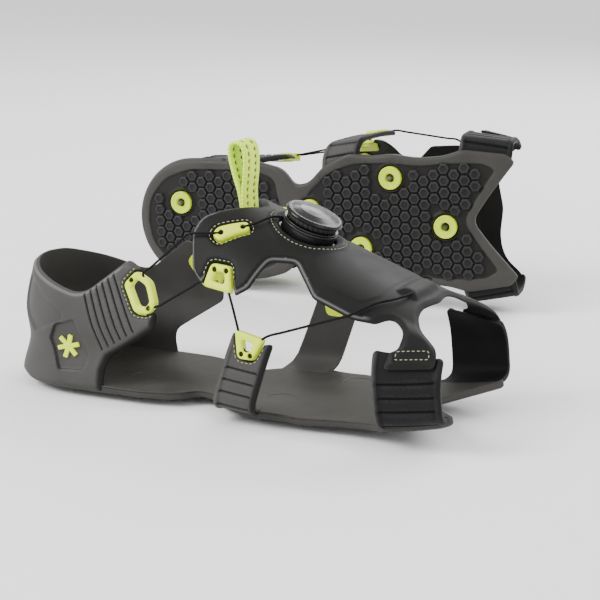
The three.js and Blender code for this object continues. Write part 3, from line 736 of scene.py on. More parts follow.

# %% [markdown]
# The rubbers, the nylon, the lime plastics, the steel and the thread differ only in their colours, their
# gloss, and how coarse and deep the grain is. The knob and the dial are the blackest and the glossiest,
# the panel and lugs are a dull black, and the outsole is a lighter grey. The front straps are the outsole's
# rubber painted nearly black: painted shade.

# %% The moulded finishes
outsole_rubber = moulded("outsole_rubber", grey(0.042, 0.03), grey(0.052, 0.03), grey(0.16), (0.55, 0.66),
                         specular=0.2)
lug_rubber = moulded("lug_rubber", grey(0.009), grey(0.013), grey(0.07), (0.45, 0.6), wear=0.3, specular=0.2)
plate_rubber = moulded("plate_rubber", grey(0.032, 0.06), grey(0.042, 0.06), grey(0.07), (0.45, 0.6),
                       specular=0.2)
# The front straps are the outsole's rubber, painted far darker: painted shade.
shaded_strap_rubber = moulded("shaded_strap_rubber", grey(0.006), grey(0.009), grey(0.07), (0.5, 0.62), specular=0.12)
panel_rubber = moulded("panel_rubber", grey(0.007, 0.03), grey(0.010, 0.03), grey(0.12), (0.52, 0.62),
                       specular=0.14)
dial_nylon = moulded("dial_nylon", grey(0.004), grey(0.007), grey(0.03), (0.25, 0.36), relief=0.02)
knob_gloss = moulded("knob_gloss", grey(0.003), grey(0.005), grey(0.04), (0.2, 0.26), relief=0.003,
                     specular=0.22)
grip_rubber = moulded("grip_rubber", grey(0.008), grey(0.012), grey(0.04), (0.45, 0.6), specular=0.3)
lime_nylon = moulded("lime_nylon", (0.66, 0.82, 0.015), (0.74, 0.9, 0.03), (0.88, 0.98, 0.15), (0.4, 0.55),
                     relief=0.03, wear=0.3, blotch=90, specular=0.3)
collar_lime = moulded("collar_lime", (0.52, 0.68, 0.015), (0.6, 0.76, 0.03), (0.75, 0.85, 0.15), (0.4, 0.55),
                      relief=0.03, blotch=90, specular=0.3)
stud_steel = moulded("stud_steel", grey(0.08), grey(0.14), grey(0.3), (0.3, 0.45), metal=1.0, relief=0.02)
thread = moulded("thread", (0.2, 0.21, 0.12), (0.28, 0.29, 0.18), (0.5, 0.5, 0.4), (0.7, 0.85), grain=4000)
print("moulded finishes:", len(bpy.data.materials))

# %% [markdown]
# Each lace guide is moulded into a hole of its own in the rubber. Rubber and guide share one outline, so
# the outlines come before both, and the hole is the guide's outline grown by a narrow gap.

# %% Guide outlines
GUIDE_BAR = 3.4
GUIDE_BODY = {
    "panel_guide": [[129, 46.6], [139.4, 44.6], [143, 56.6], [126.6, 58.6]],
    "heel_guide": [[97, 61], [103.6, 68.4], [112.6, 64], [117.2, 53], [113, 47.6], [105, 47.6]],
    "mid_guide": [[148, 47.4], [164.4, 44.6], [158.5, 34], [150.4, 34]],
    "eyelet": [[126, 29.8], [138.2, 20.2], [141.4, 24], [129.4, 35.8], [125, 34.4]],
}


def on_side(corners, kind, side):
    """A pattern drawn for the outer side, moved to the side it is wanted on."""
    if kind == "mid_guide" or side > 0:
        return [list(corner) for corner in corners]
    flipped = 0 if kind == "heel_guide" else 1
    return [[-v if i == flipped else v for i, v in enumerate(corner)] for corner in corners]


def guide_surface(kind, side):
    """The surface that a guide sits on."""
    return {"mid_guide": STRAP[side], "heel_guide": HEEL}.get(kind, INSTEP)


GUIDE_GAP = 0.6


def guide_cut(kind, side):
    """The hole in the rubber round a guide."""
    return outline(on_side(grown(GUIDE_BODY[kind], GUIDE_GAP), kind, side), corner_radius=2.8)


print("guides:", sorted(GUIDE_BODY))

# %% [markdown]
# A face is described by adding small functions to the wall's thickness: a pocket, a groove, a raised
# field. The same distances give the painted shade and painted highlights that go with them.

# %% Pockets and grooves
def relief(flat, loop, depth, slope=1.1):
    """A pocket with sloped sides; a negative depth gives a raised field."""
    return -depth * smooth((depth_in(loop, flat) + slope) / slope)


def groove(flat, line, depth=0.9, half=0.55):
    away = distance_to(np.array(line, float), flat, closed=False)
    return -depth * smooth(1 - (away - 0.1) / half)


def along_line(flat, line, reach):
    """1 on a line, fading to 0 at its reach."""
    return smooth(1.3 - distance_to(np.array(line, float), flat, closed=False) / reach)


def by_guide(flat, kind, side):
    """Painted shade: nearly 1 at the edge of a guide's hole, fading over a millimetre."""
    return 0.9 * smooth(1.3 - distance_to(guide_cut(kind, side), flat) / 0.9)


GROOVE_POINTS = (-0.65, -0.3, 0, 0.3, 0.65)
print("a groove is", -float(groove(np.array([[5.0, 0.0]]), [[0, 0], [10, 0]])[0]), "mm deep")

# %% [markdown]
# The heel cup is one wall that wraps the back of the shoe, with an ear on each side for the lace guide.
# Its face carries thin grooves that let the ear flex, a sloped pocket behind the ankle and a hexagonal
# badge recess. The ear's wide front bevel gets painted shade, so it reads as a thick dark rim.

# %% The heel cup
HALF_HEEL_WALL = [
    [0, 4.4], [86, 4.4, 2], [85.5, 15, 4], [88, 22, 6], [100, 30, 2], [116, 40.4, 2.5], [116.5, 48, 2],
    [110, 51, 2], [102.5, 64, 2], [105.5, 69.4, 2], [97.5, 73.6, 3], [71, 53, 8], [42, 60.5, 5], [16, 66, 6],
    [0, 66.5],
]
BADGE_POCKET = [[53, 29], [57, 36.5], [68, 40], [75.5, 22], [73.5, 14.5], [59.5, 13.5]]
BACK_POCKET = [[20, 58], [38, 54.6], [60, 43], [61, 40], [38, 31], [24, 44]]
EAR_GROOVES = [[[74 + 3.2 * k, 53.5 + 2.3 * k], [84.4 + 3.9 * k, 26.5 + 2.4 * k]] for k in range(6)]
HEEL_BEVEL = (2.6, 1.9)


def heel_face(flat, d):
    height = np.full(len(flat), WALL)
    for side in (1, -1):
        for pocket, depth in ((BADGE_POCKET, 1.3), (BACK_POCKET, 1.2)):
            height += relief(flat, outline(on_side(pocket, "heel_guide", side)), depth)
        for line in EAR_GROOVES:
            height += groove(flat, on_side(line, "heel_guide", side))
    return height


HEEL_FRONT = [[86, 4.4], [85.5, 15], [88, 22], [100, 30], [116, 40.4], [116.5, 48]]


def heel_shade(flat, d):
    """Painted shade: grooves, front edge, badge wall, guide hole. Painted highlight: pockets, top rim."""
    dark = np.zeros(len(flat))
    for side in (1, -1):
        for line in EAR_GROOVES:
            dark = np.maximum(dark, 0.9 * along_line(flat, on_side(line, "heel_guide", side), 0.6))
        front = along_line(flat, on_side(HEEL_FRONT, "heel_guide", side), 3.6)
        dark = np.maximum(dark, 0.97 * front)
        dark = np.maximum(dark, by_guide(flat, "heel_guide", side))
        badge = outline(on_side(BADGE_POCKET, "heel_guide", side))
        wall = np.abs(depth_in(badge, flat) + 0.7)
        near_back = smooth((62 - side * flat[:, 0]) / 3)
        dark = np.maximum(dark, 0.8 * smooth(1.2 - wall / 0.9) * near_back)
        back = outline(on_side(BACK_POCKET, "heel_guide", side))
        pale = 0.8 * smooth(1 - np.abs(depth_in(back, flat) + 0.3) / 0.8)
        lip = smooth(1 - np.abs(depth_in(badge, flat) - 0.1) / 0.6)
        pale = np.maximum(pale, 0.5 * lip * (1 - near_back))
        dark = np.where(dark > 0.05, dark, np.minimum(dark, -pale))
    top = smooth((flat[:, 1] - 48) / 4) * smooth((96 - np.abs(flat[:, 0])) / 4)
    rim = 0.6 * top * smooth((d - 0.9) / 0.4) * smooth((2.4 - d) / 0.4)
    return np.where(dark > 0.05, dark, np.minimum(dark, -rim))


def heel_lines():
    """Lines of points along the pockets and the grooves."""
    for side in (1, -1):
        for pocket in (BADGE_POCKET, BACK_POCKET):
            loop = outline(on_side(pocket, "heel_guide", side))
            yield from (ring_inside(loop, offset) for offset in (-1.1, -0.55, 0))
        for line in EAR_GROOVES:
            yield beside(on_side(line, "heel_guide", side), GROOVE_POINTS)


heel_loop = outline(both_halves(HALF_HEEL_WALL, 0))
heel_cup = sheet(
    "heel_cup", heel_loop, HEEL, 0, heel_face, bevel=HEEL_BEVEL,
    cuts=[guide_cut("heel_guide", side) for side in (1, -1)], lines=list(heel_lines()), edge=0.9,
    shade=heel_shade,
)
place("heel_cup", heel_cup, outsole_rubber, stands_for=["outsole"])

# %% [markdown]
# The tread plate runs from under the heel to the front straps, narrow at the arch and forked at the toe.
# Its two lug fields are sunk below a smooth border band, so the plate is drawn with two pockets, and each
# stud collar gets a round hole with a small raised lip.

# %% The tread plate
HALF_SOLE = [
    [-0.6, 0], [0.4, 11, 6], [5.2, 22.8, 6], [14.5, 32.6, 6], [27, 38.4, 6], [40, 40.2, 6], [86, 38.6, 4],
    [104, 34, 6], [112, 23, 7], [122, 25, 5], [133, 36, 6], [150, 43.5, 4], [166, 41.5, 6], [178, 43, 8],
    [196, 40, 8], [212, 41, 5], [224, 44.6, 3], [251, 41, 3], [255, 35.5, 2], [238, 14, 10], [228.5, 0, 6],
]
HEEL_FIELD = [
    [5, 0], [7, 14, 6], [18.5, 27.5, 6], [36, 33.6, 8], [84, 32.6, 4], [98, 27, 5], [101.5, 0, 9],
]
TOE_FIELD = [
    [117, 0, 9], [120.5, 17, 5], [136, 30.5, 6], [152, 36.4, 6], [178, 37, 8], [196, 34.6, 8], [214, 36, 5],
    [236, 35.5, 3], [243, 31.5, 3], [231, 14, 8], [223, 0, 6],
]
STUDS = {"a": (178, -28), "b": (212, 3), "c": (156, 17), "d": (122, -7), "e": (74, 14), "f": (30, -12)}
COLLAR_RADIUS = 7.3
COLLAR_FIT = 0.25
PLATE, FLOOR = 4.0, 3.2


def circle(centre, radius, count=40):
    turn = np.linspace(0, 2 * math.pi, count, endpoint=False)
    return np.stack([centre[0] + radius * np.cos(turn), centre[1] + radius * np.sin(turn)], axis=1)


FIELDS = [outline(both_halves(half, 1)) for half in (HEEL_FIELD, TOE_FIELD)]


def plate_face(flat, d):
    """The border band, the two sunken fields, and a lip round each collar."""
    height = np.full(len(flat), PLATE)
    for field in FIELDS:
        height += relief(flat, field, PLATE - FLOOR, slope=0.8)
    for centre in STUDS.values():
        away = np.hypot(flat[:, 0] - centre[0], flat[:, 1] - centre[1])
        height = np.maximum(height, FLOOR + 1.1 * smooth((COLLAR_RADIUS + 2.4 - away) / 1.0))
    return height


def plate_shade(flat, d):
    """Painted shade on the floor between the lugs and on the raised lips round the collars."""
    deep = np.max([smooth((depth_in(field, flat) + 0.9) / 0.9) for field in FIELDS], axis=0)
    for centre in STUDS.values():
        away = np.hypot(flat[:, 0] - centre[0], flat[:, 1] - centre[1])
        deep = np.maximum(deep, smooth((COLLAR_RADIUS + 2.6 - away) / 0.8))
    return 0.8 * deep


plate_lines = [ring_inside(field, offset) for field in FIELDS for offset in (-0.8, -0.4, 0)]
plate_lines += [circle(at, COLLAR_RADIUS + out) for at in STUDS.values() for out in (0.9, 1.4, 1.9, 2.4)]
tread = sheet(
    "tread_plate", outline(both_halves(HALF_SOLE, 1)), BOTTOM, -0.2, plate_face, bevel=(1.6, 0.9),
    cuts=[circle(at, COLLAR_RADIUS + COLLAR_FIT) for at in STUDS.values()], lines=plate_lines,
    edge=0.7, grid=2.2, shade=plate_shade,
)
# The footbed is a plain sheet that closes the collars' holes from inside.
backing = sheet(
    "backing", outline(both_halves(HALF_SOLE, 1)), BOTTOM, 0, 1.4, grid=4, bevel=(1.6, 0.3), edge=0.3,
)
place("tread_plate", merged("tread_plate", tread, backing), plate_rubber,
      stands_for=["outsole"])

# %% [markdown]
# What repeats is made by Geometry Nodes. A tree built in a script gets long, so a small class keeps the
# calls short: it adds a node with its wires, does sums, and ends every tree in Realize Instances and Set
# Material.

# %% A tree builder
class Tree:
    """A geometry node tree with named inputs, and short calls to add and wire nodes."""

    def __init__(self, name, inputs):
        self.tree = bpy.data.node_groups.new(name, "GeometryNodeTree")
        face = self.tree.interface
        face.new_socket("Geometry", in_out="INPUT", socket_type="NodeSocketGeometry")
        for label, kind, value in inputs:
            socket = face.new_socket(label, in_out="INPUT", socket_type=kind)
            if value is not None:
                socket.default_value = value
        face.new_socket("Geometry", in_out="OUTPUT", socket_type="NodeSocketGeometry")
        self.given = self.tree.nodes.new("NodeGroupInput").outputs
        self.result = self.tree.nodes.new("NodeGroupOutput").inputs

    def add(self, kind, wires=None, **settings):
        node = self.tree.nodes.new(kind)
        for label, value in settings.items():
            setattr(node, label, value)
        for label, value in (wires or {}).items():
            if isinstance(value, bpy.types.NodeSocket):
                self.tree.links.new(value, node.inputs[label])
            else:
                node.inputs[label].default_value = value
        return node

    def math(self, operation, a, b):
        return self.add("ShaderNodeMath", {0: a, 1: b}, operation=operation).outputs[0]

    def finish(self, geometry_socket):
        real = self.add("GeometryNodeRealizeInstances", {"Geometry": geometry_socket})
        painted = self.add("GeometryNodeSetMaterial", {"Geometry": real.outputs[0],
                                                       "Material": self.given["Material"]})
        self.tree.links.new(painted.outputs[0], self.result["Geometry"])
        return self.tree


def grown_from(carrier, tree, **values):
    """The mesh that a tree makes from a carrier object, which is then removed."""
    modifier = carrier.modifiers.new(tree.name, "NODES")
    modifier.node_group = tree
    for item in tree.interface.items_tree:
        if item.in_out == "INPUT" and item.name in values:
            modifier[item.identifier] = values[item.name]
    bpy.context.view_layer.update()
    seen = bpy.context.evaluated_depsgraph_get()
    mesh = bpy.data.meshes.new_from_object(carrier.evaluated_get(seen))
    bpy.data.objects.remove(carrier)
    return mesh


print("tree builder calls:", [call for call in vars(Tree) if not call.startswith("_")])

# %% [markdown]
# The lugs are hexagons on a hexagonal grid. The tree lays a staggered grid of points below the sole, casts
# a ray up from each to the patch of floor that lugs may stand on, drops the points that miss or meet a
# steep wall, and puts a lug on the rest. A lug is a tapered prism whose face is dished by insetting it and
# pushing it in.

# %% The lug tree
LUG_PITCH, LUG_RADIUS, LUG_HEIGHT, LUG_TAPER, LUG_DISH = 7.4, 3.85, 1.9, 0.42, 0.35
GRID_LENGTH, GRID_AHEAD, GRID_HEIGHT, RAY_LENGTH = 0.3, 0.42, -0.05, 0.2
FACING_DOWN = -0.9
RIM_SHARE, INSET_SHARE, DISH_SHARE = 0.86, 0.62, 0.8


def lug_tree():
    t = Tree("lug_field", [
        ("Pitch", "NodeSocketFloat", LUG_PITCH * MM), ("Radius", "NodeSocketFloat", LUG_RADIUS * MM),
        ("Height", "NodeSocketFloat", LUG_HEIGHT * MM), ("Taper", "NodeSocketFloat", LUG_TAPER * MM),
        ("Dish", "NodeSocketFloat", LUG_DISH * MM), ("Length", "NodeSocketFloat", GRID_LENGTH),
        ("Material", "NodeSocketMaterial", None),
    ])
    given = t.given
    column = t.math("MULTIPLY", given["Pitch"], math.sqrt(3) / 2)
    steps = (column, given["Pitch"])
    counts = [t.math("FLOOR", t.math("DIVIDE", given["Length"], step), 0) for step in steps]
    spans = [t.math("MULTIPLY", t.math("SUBTRACT", count, 1), step) for count, step in zip(counts, steps)]
    grid = t.add("GeometryNodeMeshGrid", {"Size X": spans[0], "Size Y": spans[1],
                                          "Vertices X": counts[0], "Vertices Y": counts[1]})
    place_now = t.add("GeometryNodeInputPosition")
    xyz = t.add("ShaderNodeSeparateXYZ", {0: place_now.outputs[0]})
    number = t.math("ROUND", t.math("DIVIDE", t.math("ADD", xyz.outputs["X"], 1), column), 0)
    odd = t.math("FLOORED_MODULO", number, 2)
    half_pitch = t.math("MULTIPLY", given["Pitch"], 0.5)
    shift = t.add("ShaderNodeCombineXYZ", {"Y": t.math("MULTIPLY", odd, half_pitch),
                                           "X": t.math("MULTIPLY", given["Length"], GRID_AHEAD),
                                           "Z": GRID_HEIGHT})
    moved = t.add("GeometryNodeSetPosition", {"Geometry": grid.outputs["Mesh"], "Offset": shift.outputs[0]})
    hit = t.add("GeometryNodeRaycast", {"Target Geometry": given["Geometry"],
                                        "Ray Direction": (0, 0, 1), "Ray Length": RAY_LENGTH})
    kept = t.add("GeometryNodeCaptureAttribute")
    kept.capture_items.new("VECTOR", "Slope")
    t.tree.links.new(moved.outputs[0], kept.inputs["Geometry"])
    t.tree.links.new(hit.outputs["Hit Normal"], kept.inputs["Slope"])
    slope = t.add("ShaderNodeSeparateXYZ", {0: kept.outputs["Slope"]})
    flat = t.math("LESS_THAN", slope.outputs["Z"], FACING_DOWN)
    points = t.add("GeometryNodeMeshToPoints", {"Mesh": kept.outputs["Geometry"], "Selection": flat,
                                                "Position": hit.outputs["Hit Position"]})
    turn = t.add("FunctionNodeAlignRotationToVector", {"Vector": kept.outputs["Slope"]}, axis="Z")
    body = t.add("GeometryNodeMeshCone", {
        "Vertices": 6, "Depth": given["Height"], "Radius Bottom": given["Radius"],
        "Radius Top": t.math("SUBTRACT", given["Radius"], given["Taper"]),
    }, fill_type="NGON")
    inset = t.add("GeometryNodeExtrudeMesh", {"Mesh": body.outputs["Mesh"], "Selection": body.outputs["Top"],
                                              "Offset Scale": t.math("MULTIPLY", given["Taper"], 0.5)})
    inset.inputs["Individual"].default_value = False
    edge = t.add("GeometryNodeScaleElements", {"Geometry": inset.outputs["Mesh"],
                                               "Selection": inset.outputs["Top"], "Scale": RIM_SHARE})
    ring = t.add("GeometryNodeExtrudeMesh", {"Mesh": edge.outputs[0], "Selection": inset.outputs["Top"],
                                             "Offset Scale": 0.0})
    ring.inputs["Individual"].default_value = False
    ring_in = t.add("GeometryNodeScaleElements", {"Geometry": ring.outputs["Mesh"],
                                                  "Selection": ring.outputs["Top"], "Scale": INSET_SHARE})
    dish = t.add("GeometryNodeExtrudeMesh", {"Mesh": ring_in.outputs[0], "Selection": ring.outputs["Top"],
                                             "Offset Scale": t.math("MULTIPLY", given["Dish"], -1)})
    dish.inputs["Individual"].default_value = False
    floor = t.add("GeometryNodeScaleElements", {"Geometry": dish.outputs["Mesh"],
                                                "Selection": dish.outputs["Top"], "Scale": DISH_SHARE})
    lugs = t.add("GeometryNodeInstanceOnPoints", {"Points": points.outputs[0], "Instance": floor.outputs[0],
                                                  "Rotation": turn.outputs[0]})
    return t.finish(lugs.outputs[0])


LUGS = lug_tree()
print("lug tree:", len(LUGS.nodes), "nodes")

# %% [markdown]
# The tree grows the lugs on a carrier: the floor of the two fields, kept a little inside their walls and
# clear of the stud collars, so no lug is cut by either. The carrier itself is thrown away.

# %% Growing the lugs
LUG_ROOM = 2.0
COLLAR_ROOM = 4.6
floor_patches = [
    sheet("patch", ring_inside(field, LUG_ROOM), BOTTOM, FLOOR - 1, FLOOR, grid=3,
          cuts=[circle(at, COLLAR_RADIUS + COLLAR_ROOM) for at in STUDS.values()
                if inside(field, np.array([at], float))[0]])
    for field in FIELDS
]
carrier = new_object("lug_carrier", merged("patch", *floor_patches))
lugs = grown_from(carrier, LUGS, Material=lug_rubber)
place("tread_lugs", lugs, lug_rubber, stands_for=["outsole"])

# %% [markdown]
# The straps climb from the tread to the instep. Each has a raised rim down both edges and thin grooves
# across it, so it bends evenly. The front ones are sewn under the panel's tabs, and the middle ones end in
# a lace guide.

# %% The straps
FRONT_STRAP = [[219, -4], [222, 6, 4], [218.5, 43.4, 3], [251, 37.6, 3], [254, 6, 4], [252, -4]]
MID_STRAP = [
    [131, -4], [131.5, 4, 4], [146.4, 46.4, 3], [149.6, 43.5, 1], [161.5, 41.5, 1], [168.6, 43, 3],
    [156.6, 5, 4], [155, -4],
]
STRAP_RIM = 2.6
FRONT_GROOVES = [[[218 - 0.2 * k, 1.5 + 6.6 * k], [257 - 0.5 * k, 0.8 + 6.3 * k]] for k in range(5)]
MID_GROOVES = [[[126 + 2.2 * k, 3.6 + 6.4 * k], [160 + 2.0 * k, 2.6 + 6.1 * k]] for k in range(5)]


def strap_face(grooves, rim_lines):
    """A strap's outer height: raised rims, and grooves between them."""
    def face(flat, d):
        rims = [distance_to(np.array(line, float), flat, closed=False) for line in rim_lines]
        inner = smooth((np.min(rims, axis=0) - STRAP_RIM) / 0.6)
        height = WALL + 0.1 - 0.55 * inner
        for line in grooves:
            height += groove(flat, line, depth=0.9, half=0.6) * inner
        return height
    return face


def strap_shade(grooves, rim_lines, front, side):
    """Painted shade in grooves, on a front line and round the guide; else a painted highlight on one rim."""
    def shade(flat, d):
        dark = np.zeros(len(flat))
        for line in grooves:
            dark = np.maximum(dark, 0.9 * along_line(flat, line, 0.7))
        for line in rim_lines:
            away = distance_to(np.array(line, float), flat, closed=False)
            dark = np.where(away < STRAP_RIM, 0, dark)
        if front:
            dark = np.maximum(dark, by_guide(flat, "mid_guide", side))
            return np.maximum(dark, 0.97 * along_line(flat, front, 3.2))
        left = distance_to(np.array(rim_lines[0], float), flat, closed=False)
        return np.where(dark > 0.05, dark, -0.6 * smooth((1.6 - left) / 0.6))
    return shade


def strap_lines(grooves, rim_lines):
    made = [beside(line, GROOVE_POINTS) for line in grooves]
    steps = [STRAP_RIM + out for out in (0, 0.3, 0.6)]
    made += [beside(line, (*steps, *[-step for step in steps])) for line in rim_lines]
    return made


def strap(corners, grooves, rim_lines, side, cuts=(), front=None):
    return sheet("strap", outline(corners), STRAP[side], 0, strap_face(grooves, rim_lines),
                 bevel=(1.3, 0.9), cuts=cuts, lines=strap_lines(grooves, rim_lines), grid=1.5, edge=0.5,
                 shade=strap_shade(grooves, rim_lines, front, side))


FRONT_RIMS = [[[219, -4], [222, 6], [218.5, 43.4]], [[252, -4], [254, 6], [251, 37.6]]]
MID_RIMS = [[[131, -4], [131.5, 4], [146.4, 46.4]], [[155, -4], [156.6, 5], [168.6, 43]]]
front_straps = merged("front_straps", *[
    strap(FRONT_STRAP, FRONT_GROOVES, FRONT_RIMS, s) for s in (1, -1)
])
mid_straps = merged("mid_straps", *[
    strap(MID_STRAP, MID_GROOVES, MID_RIMS, s, [guide_cut("mid_guide", s)], MID_RIMS[1]) for s in (1, -1)
])
place("front_straps", front_straps, shaded_strap_rubber, stands_for=["outsole"])
place("mid_straps", mid_straps, outsole_rubber, stands_for=["outsole"])

# %% [markdown]
# The instep panel spreads like a moth over the laces of the shoe. Its edge is a wide bevel that catches
# the light and carries a painted highlight along the long sides, the dial stands in a round hole with a
# raised collar of rubber round it, the two tabs at the front carry a sewn patch each, and a low bridge at
# the front hides where the lace crosses over.

# %% The instep panel
HALF_PANEL = [
    [136, 0, 3], [129, 12, 4], [115.5, 27, 5], [113.5, 36, 3], [118.5, 54, 3], [124.5, 58, 1.5],
    [129.5, 51, 1], [141, 50, 1], [144.5, 57, 1.5], [151, 51, 2], [157, 34, 2.5], [168.5, 28.4, 2.5],
    [183.5, 42, 2], [205, 43, 3], [216, 39.8, 2], [222.5, 33, 5], [230, 39, 6], [230, 47.5, 3],
    [226.4, 50.5, 1], [225, 58.5, 3], [248.6, 48, 3], [247, 40.4, 3], [236.5, 33, 6], [231.5, 25, 5],
    [230, 16, 4], [232.5, 0, 3],
]
PANEL_TOP = 3.4
PANEL_BEVEL = (2.4, 1.5)
DIAL_HOLE = 14.3
DIAL_GROOVE = DIAL_HOLE + 4.4
LACE_BRIDGE = [[214.5, 15], [226.5, 15], [227.5, 0], [226.5, -15], [214.5, -15]]
TAB_PATCH = [[229.5, 53.6, 2.2], [246.4, 46.4, 2.2], [244.2, 41.4, 2.2], [228.6, 48.4, 2.2]]
CHEST = [[171, 0], [176, 24, 3], [186, 33, 3], [205, 33.5, 3], [211, 24, 3], [212, 0]]


def panel_face(flat, d):
    """The dial's collar and its sewn groove, the lace bridge, the chest and the two tab patches."""
    height = np.full(len(flat), PANEL_TOP)
    away = np.hypot(flat[:, 0] - DIAL_STATION, flat[:, 1])
    height += 0.9 * smooth((DIAL_HOLE + 6.2 - away) / 2.2)
    height -= 0.45 * smooth(1 - np.abs(away - DIAL_GROOVE) / 0.5)
    bridge = depth_in(outline(LACE_BRIDGE, corner_radius=3), flat)
    height += 2.6 * smooth((bridge + 0.6) / 5)
    height += relief(flat, outline(both_halves(CHEST, 1)), -0.35, slope=1.6)
    for side in (1, -1):
        patch = outline(on_side(TAB_PATCH, "panel", side))
        height += relief(flat, patch, 0.35, slope=0.8)
    return height


def panel_shade(flat, d):
    """Painted highlight on the side bevels; painted shade on their crease, the dial's groove and guide
    holes.
    """
    side = smooth((np.abs(flat[:, 1]) - 20) / 6) * smooth((214 - flat[:, 0]) / 6)
    rim = distance_to(outline(both_halves(HALF_PANEL, 1)), flat)
    band = smooth((rim - 0.5) / 0.5) * smooth((2.3 - rim) / 0.5)
    crease = smooth(1 - np.abs(rim - 2.5) / 0.7)
    ring = np.hypot(flat[:, 0] - DIAL_STATION, flat[:, 1])
    crease = np.maximum(crease * side, smooth(1 - np.abs(ring - DIAL_GROOVE) / 0.8))
    holes = [by_guide(flat, kind, s) for kind in ("panel_guide", "eyelet") for s in (1, -1)]
    dark = np.maximum(0.7 * crease, np.max(holes, axis=0))
    return np.where(dark > 0.05, dark, -0.9 * band * side)


panel_lines = [circle((DIAL_STATION, 0), DIAL_HOLE + out, 90) for out in (3.9, 4.4, 4.9, 5.6, 6.2)]
panel_lines += [ring_inside(outline(LACE_BRIDGE, corner_radius=3), at) for at in (-0.4, 0.6, 1.6, 2.6)]
panel_lines += [ring_inside(outline(both_halves(CHEST, 1)), at) for at in (-1.6, -0.8, 0)]
panel_lines += [ring_inside(outline(on_side(TAB_PATCH, "panel", side)), at)
                for side in (1, -1) for at in (-0.8, -0.4, 0)]
panel_cuts = [guide_cut(kind, side) for kind in ("panel_guide", "eyelet") for side in (1, -1)]
panel_cuts.append(circle((DIAL_STATION, 0), DIAL_HOLE, 90))
panel = sheet(
    "instep_panel", outline(both_halves(HALF_PANEL, 1)), PANEL_FORM, PANEL_LIFT, panel_face,
    bevel=PANEL_BEVEL, cuts=panel_cuts, lines=panel_lines, edge=0.6, shade=panel_shade,
)
place("instep_panel", panel, panel_rubber, stands_for=["instep_panel"])

# %% [markdown]
# The lace guides are lime frames with fat rounded bars, a window, and small holes where the lace runs in,
# blackened round with painted shade. Each one has a thin flange that is sewn behind the rubber. The eyelets
# behind the dial are closed ovals with two holes.

# %% The guides
GUIDE_FLANGE = {
    "panel_guide": [[125, 43.4], [142.6, 41], [145.4, 53], [124, 55]],
    "heel_guide": [[93.5, 60.5], [100, 68.4], [111, 46], [103.2, 44]],
    "mid_guide": [[145.4, 41.6], [149, 30.4], [160.6, 30.4], [165.4, 40.4]],
    "eyelet": [[123, 27.6], [138, 16.4], [144.6, 23.6], [130, 39.6], [121.6, 36.8]],
}
LACE_HOLES = {
    "panel_guide": [(131.4, 49.0), (137.9, 47.6)],
    "heel_guide": [(101.4, 63.4), (112.9, 50.6)],
    "mid_guide": [(152.6, 36.4), (157.6, 36.2)],
    "eyelet": [(137.6, 24.4), (129.0, 31.6)],
}
GUIDE_HEIGHT = {"panel_guide": 4.3, "heel_guide": 4.3, "mid_guide": 4.4, "eyelet": 4.9}
HOLE_RADIUS = 0.95


def hole_shade(kind, side):
    """Painted shade, black round the lace holes, so they look deep."""
    def shade(flat, d):
        away = [np.hypot(*(flat - on_side([at], kind, side)[0]).T) for at in LACE_HOLES[kind]]
        return 0.99 * smooth((1.45 - np.min(away, axis=0)) / 0.4)
    return shade


def guide_mesh(kind, side):
    surface = guide_surface(kind, side)
    body = outline(on_side(GUIDE_BODY[kind], kind, side), step=0.5, corner_radius=2.4)
    middles = [on_side([at], kind, side)[0] for at in LACE_HOLES[kind]]
    holes = [circle(at, HOLE_RADIUS, 20) for at in middles]
    window = outline(on_side(grown(GUIDE_BODY[kind], -GUIDE_BAR), kind, side), 0.5, corner_radius=1.8)
    windows = [window] if kind != "eyelet" else []
    holes += windows
    frame_bar = sheet("guide", body, surface, 0.1, GUIDE_HEIGHT[kind], cuts=holes, grid=0.8, edge=1.3,
                      shade=hole_shade(kind, side))
    flange = outline(on_side(GUIDE_FLANGE[kind], kind, side), corner_radius=2)
    plate = sheet("guide", flange, surface, 0.1, 0.9, cuts=windows, grid=2, edge=0.3,
                  lines=[circle(at, r, 16) for at in middles for r in (0.5, 1, 1.6)],
                  shade=hole_shade(kind, side))
    return merged("guide", frame_bar, plate)


for kind in GUIDE_BODY:
    for side, word in ((1, "outer"), (-1, "inner")):
        place(f"{kind}_{word}", guide_mesh(kind, side), lime_nylon,
              stands_for=[f"{kind}_{word}"])

# %% [markdown]
# The lace is one taut line on each cleat: from the spool, through an eyelet, back to the heel guide, down
# and forward again through the panel and strap guides, across under the bridge, and home on the other
# side. Its points are listed on the form: [u, v, lift] on each surface in turn.

# %% The lace's route
LACE_LEVEL = 4.9
dial_up = raised(INSTEP, DIAL_STATION, 0, 1)[0] - dial_foot
dial_up /= np.linalg.norm(dial_up)
dial_side = np.array([0.0, 1.0, 0.0])
dial_ahead = np.cross(dial_side, dial_up)


def from_dial(x, y, height):
    """A point given from the dial's foot: ahead of it, to its side and above it."""
    return dial_foot + x * dial_ahead + y * dial_side + height * dial_up


def lifted(surface, *points):
    """Several points (u, v, lift) of one surface."""
    return [raised(surface, *point)[0] for point in points]


